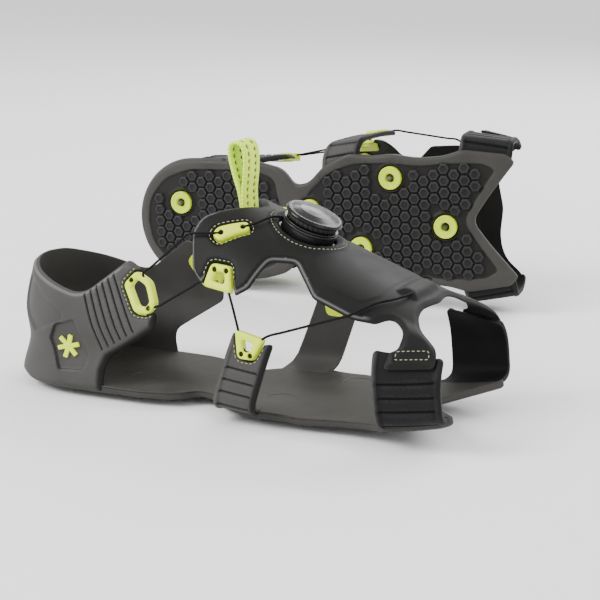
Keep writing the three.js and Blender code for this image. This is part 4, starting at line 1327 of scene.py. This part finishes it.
half_lace = [from_dial(-9.4, 3.6, LACE_LEVEL), from_dial(-15.5, 9, LACE_LEVEL)]
half_lace += lifted(INSTEP, (141, 21.5, 5.1), (137.6, 24.6, 4.4), (133, 28.6, 3), (128.4, 32.2, 4.4),
                    (124.5, 34.2, 5.1), (113, 38.6, 4.9))
half_lace += lifted(HEEL, (108, 67, 3.8), (110.6, 62, 2.3), (112.8, 56.5, 2.1), (114.6, 51.5, 2.6),
                    (119, 52.5, 3.4))
half_lace += lifted(INSTEP, (123, 57.5, 0.7), (129, 56.2, 1.8), (134, 55.4, 2.1), (139.2, 54.7, 2.1),
                    (142.5, 58.5, 2.7))
half_lace += lifted(STRAP[1], (148.8, 49.5, 3.2), (151, 42.5, 2.2), (153.6, 37.6, 2.1), (157, 37.8, 2.1),
                    (160.6, 42.5, 2.2), (166.5, 46.5, 3.6))
half_lace += lifted(INSTEP, (203, 44, 5.2), (212, 31.5, 4.9), (218.5, 22.5, 4.9), (222, 12, 4.9))
cross_over = lifted(INSTEP, (222.6, 0, 4.9))
mirror_y = np.array([1, -1, 1])
lace_points = half_lace + cross_over + [point * mirror_y for point in reversed(half_lace)]
print("the lace passes", len(lace_points), "points")

# %% [markdown]
# A smooth curve joins the points. On a long free run a taut lace is straight, so two points are added
# close to the run's ends. A round tube is then swept along the line, with a UV map for the braid.

# %% Curve and tube
LACE_RADIUS = 0.62
EASING = 7


def tautened(points):
    """Points added near both ends of each long run, so that the curve is straight between them."""
    held = []
    for here, ahead in zip(points, points[1:] + [None]):
        held.append(here)
        run = 0 if ahead is None else np.linalg.norm(ahead - here)
        if run >= 3 * EASING:
            held += [here + (ahead - here) * EASING / run, ahead - (ahead - here) * EASING / run]
    return held


def smooth_curve(points, step):
    """A centripetal Catmull-Rom curve through the points."""
    p = np.array([2 * points[0] - points[1], *points, 2 * points[-1] - points[-2]])
    gap = np.linalg.norm(np.diff(p, axis=0), axis=1) ** 0.5
    line = []
    for i in range(1, len(p) - 2):
        before, here, after = gap[i - 1], gap[i], gap[i + 1]
        start = ((p[i] - p[i - 1]) / before - (p[i + 1] - p[i - 1]) / (before + here)
                 + (p[i + 1] - p[i]) / here) * here
        end = ((p[i + 1] - p[i]) / here - (p[i + 2] - p[i]) / (here + after)
               + (p[i + 2] - p[i + 1]) / after) * here
        count = max(2, math.ceil(np.linalg.norm(p[i + 1] - p[i]) / step))
        for t in np.arange(count) / count:
            line.append((2 * t**3 - 3 * t**2 + 1) * p[i] + (t**3 - 2 * t**2 + t) * start
                        + (3 * t**2 - 2 * t**3) * p[i + 1] + (t**3 - t**2) * end)
    return np.array([*line, p[-2]])


def tube(name, line, radius, sides=10):
    """A closed tube with UV: u goes half way round and back, v along it in millimetres."""
    ahead = np.gradient(line, axis=0)
    ahead /= np.linalg.norm(ahead, axis=1)[:, None]
    across = np.cross(ahead[0], (0, 0, 1.0))
    travelled = np.r_[0, np.cumsum(np.linalg.norm(np.diff(line, axis=0), axis=1))]
    rings = []
    for centre, forward in zip(line, ahead):
        across = across - forward * (across @ forward)
        across /= np.linalg.norm(across)
        up = np.cross(forward, across)
        turn = np.linspace(0, 2 * math.pi, sides, endpoint=False)
        rings.append(centre + radius * (np.cos(turn)[:, None] * across + np.sin(turn)[:, None] * up))
    n = len(line)
    faces = [[k * sides + j, k * sides + (j + 1) % sides, (k + 1) * sides + (j + 1) % sides,
              (k + 1) * sides + j] for k in range(n - 1) for j in range(sides)]
    faces += [list(range(sides))[::-1], [(n - 1) * sides + j for j in range(sides)]]
    uv = [[abs(2 * j / sides - 1), travelled[k]] for k in range(n) for j in range(sides)]
    return solid_mesh(name, np.vstack(rings), faces, uv)


lace_line = smooth_curve(tautened(lace_points), step=0.9)
lace_length = np.linalg.norm(np.diff(lace_line, axis=0), axis=1).sum()
print("lace:", round(lace_length), "mm on each cleat,", len(lace_line), "steps")

# %% [markdown]
# Two finishes follow their piece's own UV map: the lace's braid, where two sets of strands cross round the
# tube, and the loop's webbing. Their relief goes through a Bump node, and their colours get painted shade
# where the relief is low, between the strands, and where the mesh's shade marks the loop's holes.

# %% Woven finishes
def wave(nodes, link, uv, direction_u, direction_v):
    """A ridge pattern across the UV direction (u, v), from -1 to 1."""
    across = nodes.new("ShaderNodeVectorMath")
    across.operation = "DOT_PRODUCT"
    across.inputs[1].default_value = (direction_u, direction_v, 0)
    ridge = math_node(nodes, "SINE")
    link(uv, across.inputs[0])
    link(across.outputs["Value"], ridge.inputs[0])
    return ridge.outputs[0]


def woven(name, dark, light, u_waves, v_waves, relief, rough, sheen=0.15, specular=0.3):
    """Two crossed sets of strands on a piece's own UV map."""
    material = bpy.data.materials.new(name)
    material.use_nodes = True
    nodes, link = material.node_tree.nodes, material.node_tree.links.new
    shader = nodes["Principled BSDF"]
    uv = nodes.new("ShaderNodeUVMap")
    uv.uv_map = "weave"
    one = wave(nodes, link, uv.outputs["UV"], u_waves, v_waves)
    two = wave(nodes, link, uv.outputs["UV"], -u_waves, v_waves)
    crossing = math_node(nodes, "MAXIMUM")
    link(one, crossing.inputs[0])
    link(two, crossing.inputs[1])
    shade = nodes.new("ShaderNodeMapRange")
    shade.inputs["From Min"].default_value = -0.6
    link(crossing.outputs[0], shade.inputs["Value"])
    fuzz = placed(material, GRAIN, Scale=4000, Pits=0.2)
    mix = colour_mix(nodes)
    mix.inputs[COLOUR_A].default_value = (*dark, 1)
    mix.inputs[COLOUR_B].default_value = (*light, 1)
    link(shade.outputs["Result"], mix.inputs["Factor"])
    # The mesh's shade attribute adds painted shade, towards a much darker strand colour.
    depth = nodes.new("ShaderNodeAttribute")
    depth.attribute_name = "shade"
    darker = colour_mix(nodes)
    darker.inputs[COLOUR_B].default_value = (*[0.12 * channel for channel in dark], 1)
    link(depth.outputs["Fac"], darker.inputs["Factor"])
    link(mix.outputs[COLOUR_OUT], darker.inputs[COLOUR_A])
    link(darker.outputs[COLOUR_OUT], shader.inputs["Base Color"])
    height = math_node(nodes, "MULTIPLY_ADD")
    height.inputs[1].default_value = 0.25
    link(fuzz.outputs["Height"], height.inputs[0])
    link(shade.outputs["Result"], height.inputs[2])
    bump = nodes.new("ShaderNodeBump")
    bump.inputs["Strength"].default_value = 0.7
    bump.inputs["Distance"].default_value = relief * MM
    link(height.outputs[0], bump.inputs["Height"])
    link(bump.outputs["Normal"], shader.inputs["Normal"])
    shader.inputs["Roughness"].default_value = rough
    shader.inputs["Sheen Weight"].default_value = sheen
    shader.inputs["Specular IOR Level"].default_value = specular
    return material


lace_fibre = woven("lace_fibre", grey(0.002), grey(0.006), 2 * math.pi, 2.6, 0.08, 0.6, sheen=0,
                   specular=0.1)
webbing = woven("lime_webbing", (0.5, 0.8, 0.02), (0.8, 1.0, 0.06), 3.2, 3.2, 0.12, 0.8)
place("lace", tube("lace", lace_line, LACE_RADIUS), lace_fibre, stands_for=["lace"])

# %% [markdown]
# The pull loop is one strip of webbing, folded double behind the panel. Its centreline is drawn from the
# side. The herringbone of the weave is real relief: two columns of holes with slanted ribs between them,
# given by a height for each point of a fine grid.

# %% The loop's line and weave
LOOP_STATION = 129
LOOP_WIDTH, LOOP_THICKNESS = 16, 1.7
LOOP_HEIGHT, LOOP_DEPTH, LOOP_LEAN = 34, 10, -0.12
WEAVE_PITCH = 3.6


def loop_centreline():
    """Up one leg of the loop, over its top and down the other."""
    top, half = LOOP_HEIGHT - LOOP_THICKNESS / 2, (LOOP_DEPTH - LOOP_THICKNESS) / 2
    side = [(0.5, -1.5), (0.7, 4), (1.2, 9), (half * 0.75, (top - half) * 0.62), (half, top - half * 1.2),
            (half * 0.72, top - half * 0.3), (0, top)]
    points = [(x, z) for x, z in side] + [(-x, z) for x, z in reversed(side[:-1])]
    foot = ridge_height(LOOP_STATION) - 1
    return np.array([[LOOP_STATION + x + z * LOOP_LEAN, 0, foot + z] for x, z in points])


def weave_relief(along, across):
    """Holes in two columns, with herringbone ribs that meet in the middle."""
    ribs = np.sin(2 * math.pi * (along + np.abs(across) * 0.55) / (WEAVE_PITCH / 2))
    column = np.abs(np.abs(across) - LOOP_WIDTH * 0.22)
    beat = (along / WEAVE_PITCH + 0.5 * (across > 0)) % 1 - 0.5
    hole = np.exp(-((column / 1.0) ** 2 + (beat * WEAVE_PITCH / 1.1) ** 2))
    seam = smooth(1 - np.abs(np.abs(across) - LOOP_WIDTH * 0.44) / 0.5)
    return 0.1 * ribs - 0.75 * hole - 0.12 * seam, hole


loop_line = smooth_curve(list(loop_centreline()), step=0.45)
print("pull loop:", len(loop_line), "steps")

# %% [markdown]
# The strip is a fine grid swept along that line, with the weave on both of its faces and a narrow wall
# round its rim. A mesh is right here, because the ribs have to bend with the fold.

# %% The pull loop
ACROSS = 41


def webbing_strip(name, line, width, thickness):
    """A closed strip of webbing along a line."""
    ahead = np.gradient(line, axis=0)
    ahead /= np.linalg.norm(ahead, axis=1)[:, None]
    across = np.array([0, 1.0, 0])
    out = np.cross(ahead, across)
    travelled = np.r_[0, np.cumsum(np.linalg.norm(np.diff(line, axis=0), axis=1))]
    ys = np.linspace(-width / 2, width / 2, ACROSS)
    n, m = len(line), len(ys)
    along, y = np.repeat(travelled, m), np.tile(ys, n)
    relief_now, hole = weave_relief(along, y)
    edge = rounded_over(width / 2 - np.abs(y), thickness * 0.4)
    lift = thickness / 2 + relief_now * smooth((width / 2 - np.abs(y)) / 0.6) - edge
    middle, normal = np.repeat(line, m, axis=0) + y[:, None] * across, np.repeat(out, m, axis=0)
    points = np.vstack([middle + normal * lift[:, None], middle - normal * lift[:, None]])
    quads = [[k * m + j, k * m + j + 1, (k + 1) * m + j + 1, (k + 1) * m + j]
             for k in range(n - 1) for j in range(m - 1)]
    far = n * m
    back = [[far + i for i in reversed(quad)] for quad in quads]
    rim = [(k * m, (k + 1) * m) for k in range(n - 1)]
    rim += [((k + 1) * m + m - 1, k * m + m - 1) for k in range(n - 1)]
    last = (n - 1) * m
    rim += [(j + 1, j) for j in range(m - 1)] + [(last + j, last + j + 1) for j in range(m - 1)]
    walls = [[a, b, far + b, far + a] for a, b in rim]
    uv = np.tile(np.stack([y, along], axis=1), (2, 1))
    # The holes' mask goes in as the strip's shade, so the holes get painted shade.
    return solid_mesh(name, points, quads + back + walls, uv, np.tile(smooth(1.3 * hole), 2))


pull_loop = webbing_strip("pull_loop", loop_line, LOOP_WIDTH, LOOP_THICKNESS)
place("pull_loop", pull_loop, webbing, stands_for=["pull_loop"])

# %% [markdown]
# The dial, the stud collars and the studs are turned shapes: a profile of [radius, height] points, its
# corners softened a little, spun round an axis that stands on one of the surfaces.

# %% Turned shapes
SHARP_ANGLE = math.radians(50)


def frame_at(surface, u, v):
    """A foot on a surface, with the directions ahead, to the side and up from it."""
    foot = raised(surface, u, v, 0)[0]
    up = raised(surface, u, v, 1)[0] - foot
    up /= np.linalg.norm(up)
    ahead = raised(surface, u + 1, v, 0)[0] - foot
    side = np.cross(up, ahead)
    side /= np.linalg.norm(side)
    return foot, np.cross(side, up), side, up


def softened(profile, radius=0.25):
    """The profile's corners cut back and joined by short curves."""
    points = np.array(profile, float)
    made = [points[0]]
    for before, here, after in zip(points[:-2], points[1:-1], points[2:]):
        lengths = np.linalg.norm(before - here), np.linalg.norm(after - here)
        reach = min(radius, 0.4 * lengths[0], 0.4 * lengths[1])
        start = here + (before - here) / lengths[0] * reach
        end = here + (after - here) / lengths[1] * reach
        made += [(1 - t) ** 2 * start + 2 * t * (1 - t) * here + t**2 * end for t in (0, 0.33, 0.67, 1)]
    return np.array([*made, points[-1]])


def turned(name, profile, seat, sides=72, ripple=None):
    """A profile spun in a seat. Closed by its own axis points, or back to its start."""
    foot, ahead, side, up = seat
    line = softened(profile)
    n, rings = len(line), []
    for k in range(sides):
        angle = 2 * math.pi * k / sides
        radius = line[:, 0] * (ripple(angle) if ripple else 1)
        out = math.cos(angle) * ahead + math.sin(angle) * side
        rings.append(foot + radius[:, None] * out + line[:, 1][:, None] * up)
    starts = [(k * n, ((k + 1) % sides) * n) for k in range(sides)]
    faces = [[here + j, ahead_of + j, ahead_of + j + 1, here + j + 1]
             for here, ahead_of in starts for j in range(n - 1)]
    return cleaned(solid_mesh(name, np.vstack(rings), faces))


def cleaned(mesh):
    """Doubled points on the axis or along a seam become one."""
    shape = bmesh.new()
    shape.from_mesh(mesh)
    bmesh.ops.remove_doubles(shape, verts=shape.verts, dist=1e-6)
    bmesh.ops.recalc_face_normals(shape, faces=shape.faces)
    shape.to_mesh(mesh)
    shape.free()
    mesh.set_sharp_from_angle(angle=SHARP_ANGLE)
    return mesh


DIAL = frame_at(INSTEP, DIAL_STATION, 0)
print("the dial's axis points along", np.round(DIAL[3], 3))

# %% [markdown]
# The knob is a shallow glossy dome with a thin raised lip, and it sits on a ribbed rubber grip. The ribs
# are a ripple in the grip's radius as it is spun. Both ride on the knob's body, so they turn and lift.

# %% The knob and its grip
KNOB_BOTTOM, DISC_BOTTOM, KNOB_TOP = 8.0, 10.8, 15.2
knob_profile = [
    (1.8, KNOB_BOTTOM), (11.6, KNOB_BOTTOM), (11.6, DISC_BOTTOM), (14.3, DISC_BOTTOM),
    (15, DISC_BOTTOM + 0.7), (15, 11.8), (14.4, 12.8), (13.6, 13.1), (13.0, 12.9), (11, 13.5), (8, 14.3),
    (4, 14.9), (0, KNOB_TOP), (0, 12.4), (1.8, 12.4), (1.8, KNOB_BOTTOM),
]
place("knob", turned("knob", knob_profile, DIAL, 96), knob_gloss, "knob", ["knob"])
GRIP_RIBS, RIB_DEPTH = 30, 0.035
grip_profile = [(11.75, 8.3), (13.1, 8.3), (13.2, 9.4), (13.1, 10.5), (11.75, 10.5), (11.75, 8.3)]


def grip_ripple(angle):
    return 1 - RIB_DEPTH * smooth(0.5 + 0.9 * math.cos(GRIP_RIBS * angle))


grip = turned("grip", grip_profile, DIAL, 360, grip_ripple)
place("knob_grip", grip, grip_rubber, "knob", ["knob_grip"])

# %% [markdown]
# Under the knob, the reel housing and the base's cup show as two thin steps. The base also has an oval
# flange, which is sewn under the panel round the dial's hole.

# %% The housing and the base
housing_profile = [
    (1.9, 1.2), (12, 1.2), (12, 6.8), (14.2, 6.8), (14.3, 7.7), (10.6, 7.7), (10.6, 2.2), (1.9, 2.2),
    (1.9, 1.2),
]
housing = turned("housing", housing_profile, DIAL, 96)
place("reel_housing", housing, dial_nylon, "cleat", ["reel_housing"])
cup_profile = [
    (1.9, -1.4), (14, -1.4), (14, 5.2), (14.25, 5.6), (14.25, 6.5), (12.3, 6.5), (12.3, 0.9), (1.9, 0.9),
    (1.9, -1.4),
]
cup = turned("cup", cup_profile, DIAL, 96)
FLANGE_LENGTH, FLANGE_WIDTH = 37, 40
around = np.arange(24) * math.pi / 12
base_flange = [
    [DIAL_STATION + FLANGE_LENGTH / 2 * math.cos(a), FLANGE_WIDTH / 2 * math.sin(a), 2] for a in around
]
flange = sheet("flange", outline(base_flange), INSTEP, 0.1, 0.9, grid=3,
               cuts=[circle((DIAL_STATION, 0), 13)], edge=0.3)
place("dial_base", merged("dial_base", cup, flange), dial_nylon, "cleat", ["dial_base"])

# %% [markdown]
# Each stud is a steel pin in a lime collar, which is pressed into the tread and stands a little proud of
# the lugs. Heights in their profiles count upwards from the shoe's sole, so all of them are negative.

# %% Studs and their collars
collar_profile = [
    (2.6, -4.4), (3.1, -4.9), (3.6, -5.15), (5.6, -5.2), (6.2, -5.45), (6.9, -5.45), (7.3, -5.1),
    (7.3, -1.7), (4.3, -1.7), (4.3, -2.9), (2.6, -2.9), (2.6, -4.4),
]
stud_profile = [
    (0, -7.5), (0.7, -7.5), (1.5, -6.3), (1.7, -5), (2, -4.6), (2, -2.6), (4, -2.6), (4, -2.0), (0, -2.0),
]
for letter, at in STUDS.items():
    foot, ahead, side, down = frame_at(BOTTOM, *at)
    seat = (foot, ahead, side, -down)
    place(f"stud_collar_{letter}", turned("collar", collar_profile, seat, 48), collar_lime,
          stands_for=[f"stud_collar_{letter}"])
    place(f"stud_{letter}", turned("stud", stud_profile, seat, 32), stud_steel,
          stands_for=[f"stud_{letter}"])

# %% [markdown]
# Stitches. Each row is a line on the surface, and one tree sews them all: it turns the lines into curves,
# takes points at an even pitch along them, and puts a short fat strand on each, turned along the row.

# %% The stitch tree
STITCH_PITCH, STITCH_LENGTH, STITCH_THICKNESS = 2.3, 1.5, 0.5


def stitch_tree():
    t = Tree("stitches", [
        ("Pitch", "NodeSocketFloat", STITCH_PITCH * MM), ("Length", "NodeSocketFloat", STITCH_LENGTH * MM),
        ("Thickness", "NodeSocketFloat", STITCH_THICKNESS * MM), ("Material", "NodeSocketMaterial", None),
    ])
    given = t.given
    rows = t.add("GeometryNodeMeshToCurve", {"Mesh": given["Geometry"]})
    spots = t.add("GeometryNodeCurveToPoints", {"Curve": rows.outputs[0], "Length": given["Pitch"]},
                  mode="LENGTH")
    size = t.add("ShaderNodeCombineXYZ", {"X": given["Thickness"], "Y": given["Thickness"],
                                          "Z": given["Length"]})
    strand = t.add("GeometryNodeMeshUVSphere", {"Segments": 8, "Rings": 6, "Radius": 0.5})
    shaped = t.add("GeometryNodeTransform", {"Geometry": strand.outputs["Mesh"], "Scale": size.outputs[0]})
    sewn = t.add("GeometryNodeInstanceOnPoints", {"Points": spots.outputs["Points"],
                                                  "Instance": shaped.outputs[0],
                                                  "Rotation": spots.outputs["Rotation"]})
    return t.finish(sewn.outputs[0])


STITCHES = stitch_tree()


def row_on(surface, line, lift, closed=False):
    """A row of stitches laid on a surface."""
    line = walked(np.array(line, float), 0.8, closed)
    if closed:
        line = np.vstack([line, line[:1]])
    return raised(surface, line[:, 0], line[:, 1], lift)


def sewn_mesh(name, rows):
    """All the stitches of some rows as one mesh."""
    points, edges = [], []
    for row in rows:
        edges += [(len(points) + i, len(points) + i + 1) for i in range(len(row) - 1)]
        points += [tuple(point * MM) for point in row]
    mesh = bpy.data.meshes.new(name)
    mesh.from_pydata(points, edges, [])
    made = grown_from(new_object(name, mesh), STITCHES, Material=thread)
    made.polygons.foreach_set("use_smooth", [True] * len(made.polygons))
    return made


print("stitch tree:", len(STITCHES.nodes), "nodes")

# %% [markdown]
# A row runs round each guide just outside its hole, as far as there is rubber under it. The tab patches
# and the groove round the dial have closed rows.

# %% The stitch rows
SEAM_INSET = 1.9


def on_rubber(row_2d, rubber, margin=0.8):
    """The longest run of a closed line that stays on the rubber."""
    good = depth_in(rubber, row_2d) > margin
    if good.all():
        return row_2d
    shift = int(np.argmin(good))
    line, good = np.roll(row_2d, -shift, axis=0), np.roll(good, -shift)
    runs, start = [], None
    for i, flag in enumerate([*good, False]):
        if flag and start is None:
            start = i
        if not flag and start is not None:
            runs.append((start, i))
            start = None
    first, last = max(runs, key=lambda run: run[1] - run[0])
    return line[first:last]


panel_loop = outline(both_halves(HALF_PANEL, 1))
mid_loop = outline(MID_STRAP)
seams = {"panel": [], "outsole": []}
for side in (1, -1):
    for kind, surface, rubber, lift, group in (
        ("panel_guide", INSTEP, panel_loop, PANEL_TOP + 0.1, "panel"),
        ("eyelet", INSTEP, panel_loop, PANEL_TOP + 0.1, "panel"),
        ("heel_guide", HEEL, heel_loop, WALL + 0.05, "outsole"),
        ("mid_guide", STRAP[side], mid_loop, WALL - 0.35, "outsole"),
    ):
        seam = outline(on_side(grown(GUIDE_BODY[kind], SEAM_INSET), kind, side), corner_radius=4)
        seams[group].append(row_on(surface, on_rubber(seam, rubber, 2.0), lift))
    patch = outline(on_side(TAB_PATCH, "panel", side))
    seams["panel"].append(row_on(PANEL_FORM, ring_inside(patch, 1.0), PANEL_TOP - 0.2, closed=True))
ring = walked(circle((DIAL_STATION, 0), DIAL_GROOVE, 90), 0.8, closed=True)
ring = np.vstack([ring, ring[:1]])
seams["panel"].append(raised(INSTEP, ring[:, 0], ring[:, 1], panel_face(ring, None) + 0.15))
for group, rows in seams.items():
    place(f"{group}_stitches", sewn_mesh(group, rows), thread)

# %% [markdown]
# The badge recess on each side of the heel carries a plain six-armed star in lime: three crossed bars, as
# a generic sign for ice.

# %% The badge star
BADGE_CENTRE = (63.6, 25.6)
ARM_LENGTH, ARM_WIDTH = 13.5, 2.6
badge_bars = []
for side in (1, -1):
    for turn in (15, 75, 135):
        angle = math.radians(turn)
        along = np.array([math.cos(angle), math.sin(angle)])
        across = np.array([-math.sin(angle), math.cos(angle)])
        corners = [np.array(BADGE_CENTRE) + along * a * ARM_LENGTH / 2 + across * b * ARM_WIDTH / 2
                   for a, b in ((-1, -1), (1, -1), (1, 1), (-1, 1))]
        bar = outline(on_side([[*corner, 0.5] for corner in corners], "heel_guide", side))
        badge_bars.append(sheet("bar", bar, HEEL, WALL - 1.5, WALL - 0.2, grid=1, edge=0.3))
place("badge_star", merged("badge_star", *badge_bars), lime_nylon)

# %% [markdown]
# Two CAD nodes on each cleat are hidden deep in the dial and have the right shape: the spool and the
# screw. They only get a better material.

# %% CAD nodes that stay
for cleat in placements:
    for node, material in (("spool", dial_nylon), ("dial_screw", stud_steel)):
        kept = frame["nodes"][f"{cleat}_{node}"]
        kept.data.materials.clear()
        kept.data.materials.append(material)
print("kept CAD nodes:", [name for name, node in frame["nodes"].items() if not node.hide_render])

# %% [markdown]
# The object stands on a large pale floor with a dull, papery finish, so it throws soft shadows and is not
# mirrored.

# %% The floor
FLOOR_SIZE = 8


def floor_mesh():
    half = FLOOR_SIZE / 2
    corners = [(-half, -half, 0), (half, -half, 0), (half, half, 0), (-half, half, 0)]
    mesh = bpy.data.meshes.new("floor")
    mesh.from_pydata(corners, [], [(0, 1, 2, 3)])
    return mesh


paper = bpy.data.materials.new("paper")
paper.use_nodes = True
paper_shader = paper.node_tree.nodes["Principled BSDF"]
paper_shader.inputs["Base Color"].default_value = (0.9, 0.9, 0.9, 1)
paper_shader.inputs["Roughness"].default_value = 0.9
stage_floor = new_object("floor", floor_mesh())
stage_floor.data.materials.append(paper)
stage_floor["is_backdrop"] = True
print("floor:", FLOOR_SIZE, "m square")

# %% [markdown]
# The light is soft and even, as in a studio: a white world, a large key above and behind the camera's
# left, a fill from the right, and a strip behind that draws bright lines along the bevels.

# %% The lights
def area_light(name, at, aim, size, watts):
    data = bpy.data.lights.new(name, "AREA")
    data.shape = "RECTANGLE"
    data.size, data.size_y, data.energy = *size, watts
    light = new_object(name, data)
    light.location = at
    light.rotation_mode = "QUATERNION"
    light.rotation_quaternion = (Vector(aim) - Vector(at)).to_track_quat("-Z", "Y")


LIT_POINT = (0, 0, 0.05)
WORLD_STRENGTH = 1.25
area_light("key", (-1.2, -1.2, 1.3), LIT_POINT, (1.0, 1.0), 46)
area_light("fill", (1.5, -0.6, 0.9), LIT_POINT, (1.0, 1.0), 8)
area_light("strip", (0.3, 1.3, 1.1), LIT_POINT, (1.8, 0.5), 22)
world = bpy.data.worlds.new("studio")
world.use_nodes = True
world.node_tree.nodes["Background"].inputs["Color"].default_value = (1, 1, 1, 1)
world.node_tree.nodes["Background"].inputs["Strength"].default_value = WORLD_STRENGTH
bpy.context.scene.world = world

# %% The boxes, and the end
boxes = {"cad": cad_box, "visual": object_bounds()}
{name: [list(corner) for corner in box] for name, box in boxes.items()}
